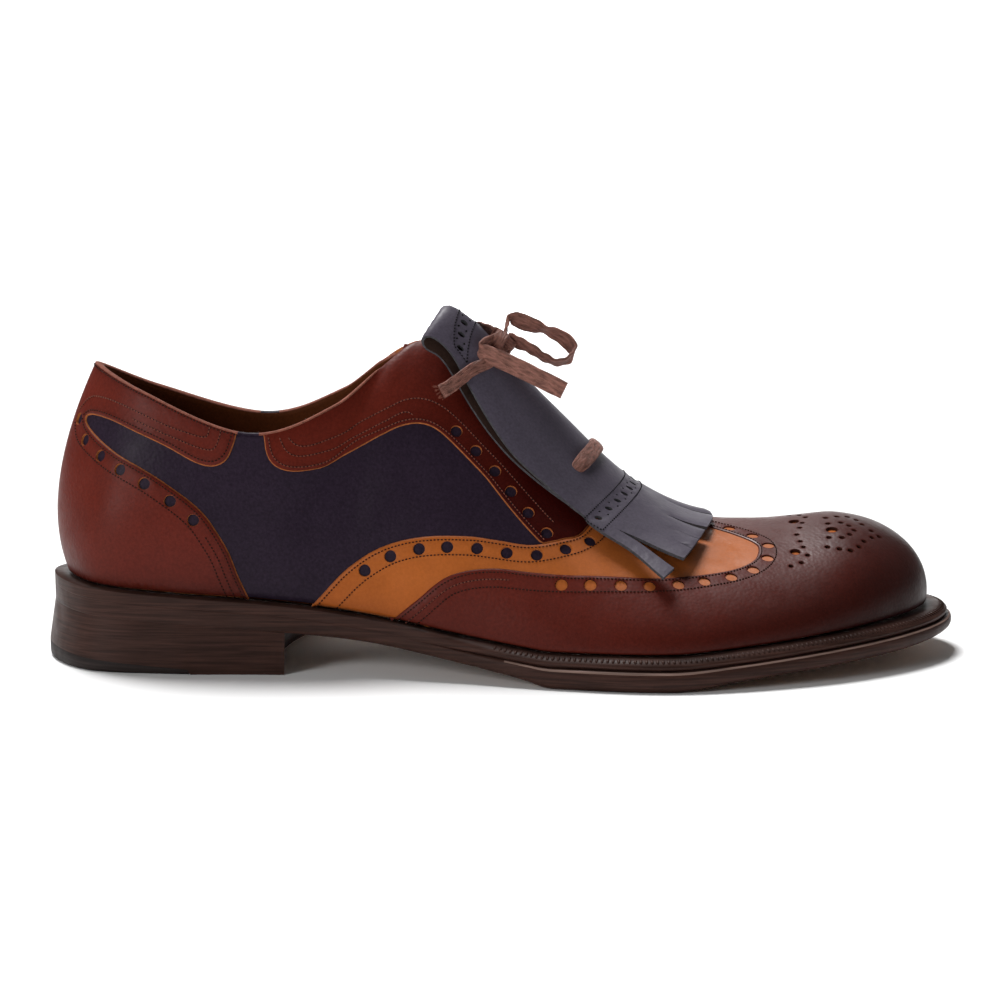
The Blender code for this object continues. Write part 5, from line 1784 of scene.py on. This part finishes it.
def band_holes():
    """Rings of the long holes and pinholes of the flap's punched bands."""
    rings = []
    for band in BANDS:
        half = SHEET.half(band.holes.length)
        count = int(BAND_LAST * half / band.pitch)
        for number in range(-2 * count, 2 * count + 1):
            spot = band_place(band.holes, number / 2 * band.pitch)
            if spot[1] > BAND_LAST * half * (1 - 2 * FLAP_SHIFT):
                break
            if number % 2 == 0:
                rings.append(flat_ring(spot, band.long, band.wide, FLAP_HOLE_SIDES))
            else:
                rings += [flat_ring(spot + (way * band.pin_offset, 0), PIN_RADIUS, PIN_RADIUS, PIN_SIDES)
                          for way in (-1, 1)]
    return rings


def flat_ring(spot, long, wide, sides):
    """Flat ellipse about a place."""
    turns = 2 * math.pi * np.arange(sides) / sides
    return spot + np.stack([long * np.cos(turns), wide * np.sin(turns)], axis=1)


def border_rows():
    """Flat lines of the stitched borders around the punched bands."""
    rows = []
    for band in BANDS:
        for line in (band.upper, band.lower):
            half = SHEET.half(line.length)
            reaches = np.linspace(-band.ends * half, band.ends * half * (1 - 2 * FLAP_SHIFT), BORDER_COUNT)
            rows.append(np.array([band_place(line, reach) for reach in reaches]))
        rows += [np.linspace(rows[-2][end], rows[-1][end], BORDER_END_COUNT) for end in (0, -1)]
    return rows


def seam_on_flap(line):
    """Stitch points, normals and runs along a flat line on the flap."""
    spots = even(line, bpy.context.scene.shoe_sizes.stitch_pitch / MM, SHEET.points(line))
    middles = (spots[1:] + spots[:-1]) / 2
    normals = SHEET.normals(middles)
    runs = unit(np.diff(SHEET.points(spots), axis=0))
    return SHEET.points(middles) + normals * FLAP_THICKNESS / 2, normals, runs


class SHOE_OT_flap(bpy.types.Operator):
    """Make the folded flap with its fringe"""

    bl_idname = "shoe.flap"
    bl_label = "Fringe flap"

    def execute(self, context):
        places, faces, rim = triangles_in(flap_ring(), band_holes(), FLAP_STEP)
        points = SHEET.points(places)
        normals = SHEET.normals(places)
        half = (FLAP_THICKNESS / 2 - FLAP_EDGE_DROP * (rim >= 0))[:, None]
        body, every, flags = thick_sheet(points + normals * half, points - normals * half, faces)
        flags[len(faces):2 * len(faces)] = [2] * len(faces)
        # Painted sheen: more specular where the flap faces up
        marks = {"polish": np.tile(np.clip(normals[:, 2], 0, 1), 2)}
        leathers = [surface("flap leather"), surface("flap edge"), surface("flap inside")]
        made = add_piece("kiltie_sheet", body, every, leathers, flags, marks, PANEL_SHARP)
        finish_piece(turned_out(made), "navy_leather", "kiltie")
        return {"FINISHED"}


class SHOE_OT_inside(bpy.types.Operator):
    """Make the tongue and the foot bed"""

    bl_idname = "shoe.inside"
    bl_label = "Tongue and foot bed"

    def execute(self, context):
        lift = -(WALL + INSIDE_GAP + TONGUE_THICKNESS / 2)
        rows = [(x, 0, lift, TONGUE_REACH) for x in TONGUE_PLACES]
        rows.append((TONGUE_PLACES[-1], TONGUE_EXTRA, lift - TONGUE_DIP, TONGUE_REACH * TONGUE_TOP_SHARE))
        rows = smooth_line(rows, TONGUE_CURVE)
        share = np.linspace(-1, 1, TONGUE_ACROSS)
        columns = [np.repeat(column[:, None], TONGUE_ACROSS, axis=1) for column in rows.T]
        points = over_crest(*columns[:3], columns[3] * share).reshape(-1, 3)
        leathers = [surface("brown leather"), surface("lining leather")]
        quads = grid_faces(len(rows), TONGUE_ACROSS, False)
        made = add_piece("tongue_sheet", points, quads, leathers, marks={"burnish": np.zeros(len(points))})
        wall = made.modifiers.new("wall", "SOLIDIFY")
        wall.thickness = TONGUE_THICKNESS * MM
        wall.offset = 0
        finish_piece(made, "brown_leather", "tongue")
        rings = half_rings(INSOLE_STEPS, insole_rows)
        faces = ring_faces(len(rings), len(rings[0]))
        made = add_piece("insole_pad", rings.reshape(-1, 3), faces, [surface("lining leather")])
        finish_piece(turned_out(made, weld=True), "lining_leather", "insole")
        return {"FINISHED"}


def signed_power(values, power):
    """Values raised to a power with their signs kept."""
    return np.sign(values) * np.abs(values) ** power


def ribbon(name, spine, widths, piece_width):
    """Flat, slightly cupped ribbon along a spine, with a UV map."""
    run = unit(np.gradient(spine, axis=0))
    wide = unit(widths - run * (widths * run).sum(axis=1, keepdims=True))
    thick = np.cross(run, wide)
    turns = 2 * math.pi * np.arange(RIBBON_SIDES) / RIBBON_SIDES
    across = signed_power(np.cos(turns), RIBBON_SQUARE) / 2
    lengths = lengths_along(spine)
    bend = RIBBON_CUP * (np.sin(lengths / CRUMPLE * CUP_PACE) + CUP_LEAN)[:, None]
    cup = bend * (4 * across ** 2 - CUP_MIDDLE)
    deep = signed_power(np.sin(turns), RIBBON_FLAT) * LACE_THICKNESS / 2 + cup
    spread = across * np.reshape(piece_width, (-1, 1)) * np.ones((len(spine), 1))
    rings = spine[:, None] + spread[..., None] * wide[:, None] + deep[..., None] * thick[:, None]
    faces = tube_faces(len(spine), RIBBON_SIDES)
    made = add_piece(name, rings.reshape(-1, 3), faces, [surface("lace cloth")], sharp=ROUND_SHARP)
    layer = made.data.uv_layers.new(name="ribbon")
    for loop in made.data.loops:
        index, side = divmod(loop.vertex_index, RIBBON_SIDES)
        layer.data[loop.index].uv = (lengths[index], across[side] * LACE_WIDTH)
    return turned_out(made)


def bow_ribbon(name, rows):
    """Free piece of the bow, and its path in scene metres."""
    rows = smooth_line(rows)
    roll = np.radians(rows[:, 3] + CRUMPLE * np.sin(np.arange(len(rows)) * CRUMPLE_PACE))
    widths = np.stack([np.full(len(rows), RIBBON_LEAN), -np.cos(roll), np.sin(roll)], axis=1)
    made = ribbon(name + "_ribbon", rows[:, :3], widths, rows[:, 4])
    return made, [Vector(spot) for spot in metres(rows[:, :3])]


def over_flap(crest_x, reach, above):
    """Points above the flap's upper layer."""
    rows = FLAP[FOLD_END:]
    lift = monotone([row.crest_x for row in rows], [row.lift for row in rows], crest_x)
    return over_crest(crest_x, np.zeros(len(reach)), lift, reach, above[:, None] + FLAP_THICKNESS / 2)


def lace_bar(name, bar):
    """Bar of the lace across the flap, diving into it at both ends."""
    share = np.linspace(-1, 1, BAR_COUNT)
    end = np.clip((np.abs(share) - BAR_TAPER) / (1 - BAR_TAPER), 0, 1) ** 2
    spine = over_flap(bar.crest_x + bar.slant * share, bar.reach * share, bar.lift - BAR_DIVE * end)
    normal = crest(np.float64(bar.crest_x))[1]
    down_crest = np.array([normal[2], 0, -normal[0]])
    widths = np.repeat(down_crest[None], BAR_COUNT, axis=0)
    made = ribbon(name + "_ribbon", spine, widths, LACE_WIDTH * (1 - BAR_NARROW * end))
    return finish_piece(made, "lace_cloth", name)


class SHOE_OT_lace(bpy.types.Operator):
    """Make the lace: two bars, the knot, the loop and the two free ends"""

    bl_idname = "shoe.lace"
    bl_label = "Lace"

    def execute(self, context):
        lace_bar("lace_bar_lower", LOWER_BAR)
        lace_bar("lace_bar_upper", UPPER_BAR)
        far, _ = bow_ribbon("lace_strand_far", LACE_STRAND_FAR)
        finish_piece(far, "lace_cloth")
        knot = lace_knot()
        finish_piece(knot, "lace_cloth", "lace_knot")
        for name, rows, far_end, along in (("lace_loop", LACE_LOOP, "object", [knot]),
                                           ("lace_end_front", LACE_END_FRONT, "bare", []),
                                           ("lace_end_back", LACE_END_BACK, "bare", [])):
            made, path = bow_ribbon(name, rows)
            finish_piece(made, "lace_cloth", name)
        thin = (FRAY_LENGTH, FRAY_WIDTH, FRAY_WIDTH)
        sew("lace_fray", [frayed(LACE_END_BACK)], surface("light thread"), "lace_cloth", thin)
        return {"FINISHED"}


def frayed(rows):
    """Places, normals and runs of loose threads at a ribbon's end."""
    last, before = np.array(rows[-1][:3]), np.array(rows[-2][:3])
    run = unit(last - before)
    wide = np.cross(run, (0.0, 1.0, 0.0))
    chance = np.random.default_rng(FRAY_SEED)
    across = np.linspace(-0.5, 0.5, FRAY_THREADS)[:, None] * rows[-1].width
    ways = unit(run + chance.uniform(-FRAY_SPREAD, FRAY_SPREAD, (FRAY_THREADS, 3)))
    return last + across * wide + ways * FRAY_LENGTH * FRAY_STAND, np.cross(ways, wide), ways


def lace_knot():
    """Knot of ribbons wound around the strands, joined into one piece."""
    parts = []
    for number, row in enumerate(KNOT_WRAPS):
        along = unit(np.array([row.along_x, 0.0, row.along_z]))
        up = np.array([-along[2], 0.0, along[0]])
        turn = np.linspace(0, 2 * math.pi * row.turns, WRAP_COUNT)[:, None]
        middle = np.array([row.x, row.y, row.z])
        around = np.cos(turn) * up * row.high + np.sin(turn) * np.array([0.0, row.deep, 0.0])
        spine = middle + around + np.linspace(-WRAP_SHIFT, WRAP_SHIFT, WRAP_COUNT)[:, None] * along
        widths = np.repeat(along[None], WRAP_COUNT, axis=0)
        parts.append(ribbon(f"lace_knot_wrap_{number}", spine, widths, row.width))
    with bpy.context.temp_override(active_object=parts[0], selected_editable_objects=parts):
        bpy.ops.object.join()
    parts[0].name = "lace_knot_ribbon"
    return parts[0]


def stitch_tree(name, thread):
    """Geometry Nodes tree that lays one thread stitch on each point."""
    tree = bpy.data.node_groups.new(name, "GeometryNodeTree")
    add = tree.interface.new_socket
    add("Geometry", in_out="INPUT", socket_type="NodeSocketGeometry")
    keys = ("Stitch length", "Stitch width", "Stitch height")
    sizes = {key: add(key, in_out="INPUT", socket_type="NodeSocketFloat").identifier for key in keys}
    add("Geometry", in_out="OUTPUT", socket_type="NodeSocketGeometry")
    wiring = Wiring(tree)
    enter = wiring.node("NodeGroupInput").outputs
    bead = wiring.node("GeometryNodeMeshUVSphere", Segments=BEAD_SEGMENTS, Rings=BEAD_RINGS, Radius=0.5)
    shape = wiring.node("ShaderNodeCombineXYZ", **{axis: enter[key] for axis, key in zip("XYZ", sizes)})
    sized = wiring.node("GeometryNodeTransform", Geometry=bead.outputs["Mesh"],
                        Scale=shape.outputs["Vector"])
    turn = wiring.node("FunctionNodeAxesToRotation", primary_axis="Z", secondary_axis="X")
    for key, socket in zip(("up", "run"), turn.inputs):
        named = wiring.node("GeometryNodeInputNamedAttribute", data_type="FLOAT_VECTOR", Name=key)
        wiring.feed(socket, named.outputs["Attribute"])
    spread = wiring.node("GeometryNodeInstanceOnPoints", Points=enter["Geometry"],
                         Instance=sized.outputs["Geometry"], Rotation=turn.outputs["Rotation"])
    real = wiring.node("GeometryNodeRealizeInstances", Geometry=spread.outputs["Instances"])
    smooth = wiring.node("GeometryNodeSetShadeSmooth", Geometry=real.outputs["Geometry"])
    paint = wiring.node("GeometryNodeSetMaterial", Geometry=smooth.outputs["Geometry"], Material=thread)
    wiring.node("NodeGroupOutput", Geometry=paint.outputs["Geometry"])
    return tree, sizes


def sew(name, seams, thread, slot, shape):
    """One piece with all stitches of a thread; seams hold points, normals and runs."""
    points = np.concatenate([seam[0] for seam in seams])
    mesh = bpy.data.meshes.new(name)
    mesh.from_pydata(metres(points).tolist(), [], [])
    for key, which in (("up", 1), ("run", 2)):
        layer = mesh.attributes.new(key, "FLOAT_VECTOR", "POINT")
        layer.data.foreach_set("vector", np.concatenate([seam[which] for seam in seams]).ravel())
    base = placed(name + "_points", mesh)
    tree, inputs = stitch_tree(name + "_tree", thread)
    lay = base.modifiers.new("stitches", "NODES")
    lay.node_group = tree
    for key, size in zip(inputs, shape):
        lay[inputs[key]] = float(size * MM)
    graph = bpy.context.evaluated_depsgraph_get()
    made = placed(name, bpy.data.meshes.new_from_object(base.evaluated_get(graph), depsgraph=graph))
    bpy.data.objects.remove(base, do_unlink=True)
    return finish_piece(made, slot)


def seam_on_upper(line, lift):
    """Stitch points, normals and runs along a chart line on a panel."""
    spots = even(line, bpy.context.scene.shoe_sizes.stitch_pitch / MM)
    points, normals = GROUND.lay((spots[1:] + spots[:-1]) / 2)
    runs = unit(np.diff(GROUND.lay(spots)[0], axis=0))
    return points + normals * (lift + STITCH_LIFT), normals, runs


def inset_row(edge, insets, side):
    """Row beside an edge at insets by place, without the loops of tight bends."""
    spots = GROUND.lay(edge)[0]
    wanted = np.interp(spots[:, 0], [row.x for row in insets], [row.inset for row in insets])
    row = beside(edge, side * wanted)
    away = distance_to(spots, GROUND.lay(row)[0])
    return softened(on_ground(row[away > ROW_KEPT * wanted]), ROW_SOFT)


def row_between(line, low, high, axis=0):
    """Part of a chart line that lies between two shoe places on an axis."""
    spots = GROUND.lay(line)[0][:, axis]
    return line[(spots > low) & (spots < high)]


def on_side(line, side):
    """Part of a chart line on the lateral (-1) or medial (1) side."""
    return line[GROUND.lay(line)[0][:, 1] * side > 0]


class SHOE_OT_stitches(bpy.types.Operator):
    """Sew the rows of stitches on the panels"""

    bl_idname = "shoe.stitches"
    bl_label = "Stitches"

    def execute(self, context):
        dark, light = [], []
        for insets in (EDGE_ROW, FAR_ROW):
            dark.append(seam_on_upper(inset_row(ROWS.wing, insets, -1), WING_LIFT))
            dark.append(seam_on_upper(inset_row(ROWS.vamp, insets, -1), VAMP_LIFT))
        back = inset_row(ROWS.wing, WING_BACK_ROW, -1)
        for side in (-1, 1):
            light.append(seam_on_upper(row_between(on_side(back, side), 0, BACK_ROW_END), WING_LIFT))
            front, band = ROWS.counter[side]
            for insets in (EDGE_ROW, FAR_ROW):
                dark.append(seam_on_upper(inset_row(front, insets, -side), COUNTER_LIFT))
            low = inset_row(front, COUNTER_LOW_ROW, -side)
            dark.append(seam_on_upper(row_between(low, 0, COUNTER_ROW_TOP, 2), COUNTER_LIFT))
            dark.append(seam_on_upper(inset_row(band, EDGE_ROW, -side), COUNTER_LIFT))
            short = row_between(inset_row(band, BAND_SHORT_ROW, -side), BAND_SHORT_START, SHOE_END)
            for row in (inset_row(band, BAND_LONG_ROW, -side), short):
                light.append(seam_on_upper(row, COUNTER_LIFT))
            light.append(seam_on_upper(inset_row(ROWS.facing[side], EDGE_ROW, -side), FACING_LIFT))
            for rows in (FACING_ARM, FACING_LONG):
                light.append(seam_on_upper(drawn_edge(rows, side, ROW_SOFT), FACING_LIFT))
        dark.append(seam_on_upper(on_ground(beside(ROWS.collar, COLLAR_ROW)), COUNTER_LIFT))
        sizes = context.scene.shoe_sizes
        shape = np.array([sizes.stitch_length, sizes.stitch_width, sizes.stitch_width]) / MM
        flap = [seam_on_flap(row) for row in border_rows()]
        sew("brown_stitches", dark, surface("brown thread"), "brown_leather", shape)
        sew("light_stitches", light, surface("light thread"), "brown_leather", shape)
        # Dark beads in the gaps of the light rows: painted shade of the needle holes
        hole_shades = [needle_hole_shades(seam, shape[1]) for seam in light]
        sew("stitch_holes", hole_shades, surface("flap thread"), "brown_leather", HOLE_SHADE_BEAD)
        sew("flap_stitches", flap, surface("flap thread"), "navy_leather", shape)
        sew("welt_stitches", [welt_seam()], surface("sole edge"), "sole_leather", WELT_STITCH)
        return {"FINISHED"}


def needle_hole_shades(seam, thread_width):
    """Dark beads between the stitches of a seam: painted shade of the needle holes."""
    points, normals, runs = seam
    sunk = points - normals * thread_width * HOLE_SHADE_SINK
    return (sunk[1:] + sunk[:-1]) / 2, normals[1:], runs[1:]


def welt_seam():
    """Ribs of the welt's seam on its slope around the forefoot."""
    stations = np.linspace(-WELT_ROW_END, WELT_ROW_END, WELT_ROW_COUNT)
    line = plan_point(stations, ledge(stations) - welt_set_back(stations) - WELT_ROW)
    spots = even(line, WELT_PITCH, line)
    runs = unit(np.gradient(spots, axis=0))
    points = np.column_stack([spots, seat(spots[:, 0]) - WELT_DROP])
    outward = np.column_stack([-runs[:, 1], runs[:, 0], np.zeros(len(spots))])
    up = np.array([0.0, 0.0, 1.0])
    return points, unit(outward * WELT_LEAN + up), outward - WELT_LEAN * up


class SHOE_OT_stage(bpy.types.Operator):
    """Set the floor, the light and the camera"""

    bl_idname = "shoe.stage"
    bl_label = "Stage"

    def execute(self, context):
        scene = context.scene
        scene.view_settings.view_transform = "Standard"
        lens = bpy.data.cameras.new("camera")
        lens.lens = CAMERA_LENS
        lens.clip_start = CAMERA_NEAR
        scene.camera = placed("camera", lens)
        scene.camera.location = CAMERA_PLACE
        scene.camera.rotation_euler = (math.radians(CAMERA_PITCH), 0, 0)
        half = FLOOR_SIZE / 2
        wide, far, high = BACKDROP_HALF, BACKDROP_PLACE, BACKDROP_HIGH
        sheets = {"floor": [(-half, -half, 0), (half, -half, 0), (half, half, 0), (-half, half, 0)],
                  "backdrop": [(-wide, far, 0), (wide, far, 0), (wide, far, high), (-wide, far, high)]}
        for name, corners in sheets.items():
            mesh = bpy.data.meshes.new(name)
            mesh.from_pydata(corners, [], [(0, 1, 2, 3)])
            paper = Coat(name + " paper", PAPER_TONE)
            paper.set(Base_Color=PAPER_TONE, Roughness=0.9, Specular_IOR_Level=0.1)
            if name == "backdrop":
                paper.set(Emission_Color=WHITE, Emission_Strength=BACKDROP_GLOW)
            mesh.materials.append(paper.material)
            sheet = placed(name, mesh)
            sheet.visible_shadow = name == "floor"
        sky = bpy.data.worlds.new("studio")
        sky.use_nodes = True
        glow = sky.node_tree.nodes["Background"].inputs
        glow["Color"].default_value = (*WHITE, 1.0)
        glow["Strength"].default_value = SKY_STRENGTH
        scene.world = sky
        for row in LIGHTS:
            lamp = bpy.data.lights.new(row.name, row.kind)
            lamp.energy = row.power
            if row.kind == "SUN":
                lamp.angle = row.size
            else:
                lamp.size = row.size
            light = placed(row.name, lamp)
            light.location = row.place
            light.rotation_euler = (Vector(row.aim) - Vector(row.place)).to_track_quat("-Z", "Y").to_euler()
        return {"FINISHED"}


class SHOE_PT_sidebar(bpy.types.Panel):
    """Lists the shoe's sizes, colours and pieces"""

    bl_idname = "SHOE_PT_sidebar"
    bl_label = "Fringed oxford shoe"
    bl_space_type = "VIEW_3D"
    bl_region_type = "UI"
    bl_category = "Shoe"

    def draw(self, context):
        for group in (context.scene.shoe_sizes, context.scene.shoe_colours):
            column = self.layout.column()
            for key in group.bl_rna.properties.keys():
                if key not in ("rna_type", "name"):
                    column.prop(group, key)
        for operator in OPERATORS:
            self.layout.operator(operator.bl_idname)


OPERATORS = (SHOE_OT_stage, SHOE_OT_lace, SHOE_OT_quarters, SHOE_OT_panels, SHOE_OT_sole, SHOE_OT_heel,
             SHOE_OT_flap, SHOE_OT_inside, SHOE_OT_stitches)
CLASSES = (ShoeSizes, ShoeColours, *OPERATORS, SHOE_PT_sidebar)


def register():
    """Register the add-on's classes and its scene properties."""
    for item in CLASSES:
        bpy.utils.register_class(item)
    bpy.types.Scene.shoe_sizes = bpy.props.PointerProperty(type=ShoeSizes)
    bpy.types.Scene.shoe_colours = bpy.props.PointerProperty(type=ShoeColours)


def unregister():
    """Remove the scene properties and the classes."""
    del bpy.types.Scene.shoe_colours
    del bpy.types.Scene.shoe_sizes
    for item in reversed(CLASSES):
        bpy.utils.unregister_class(item)


def main():
    """Make every piece of the shoe."""
    register()
    for operator in OPERATORS:
        group, name = operator.bl_idname.split(".")
        getattr(getattr(bpy.ops, group), name)()


if __name__ == "__main__":
    main()
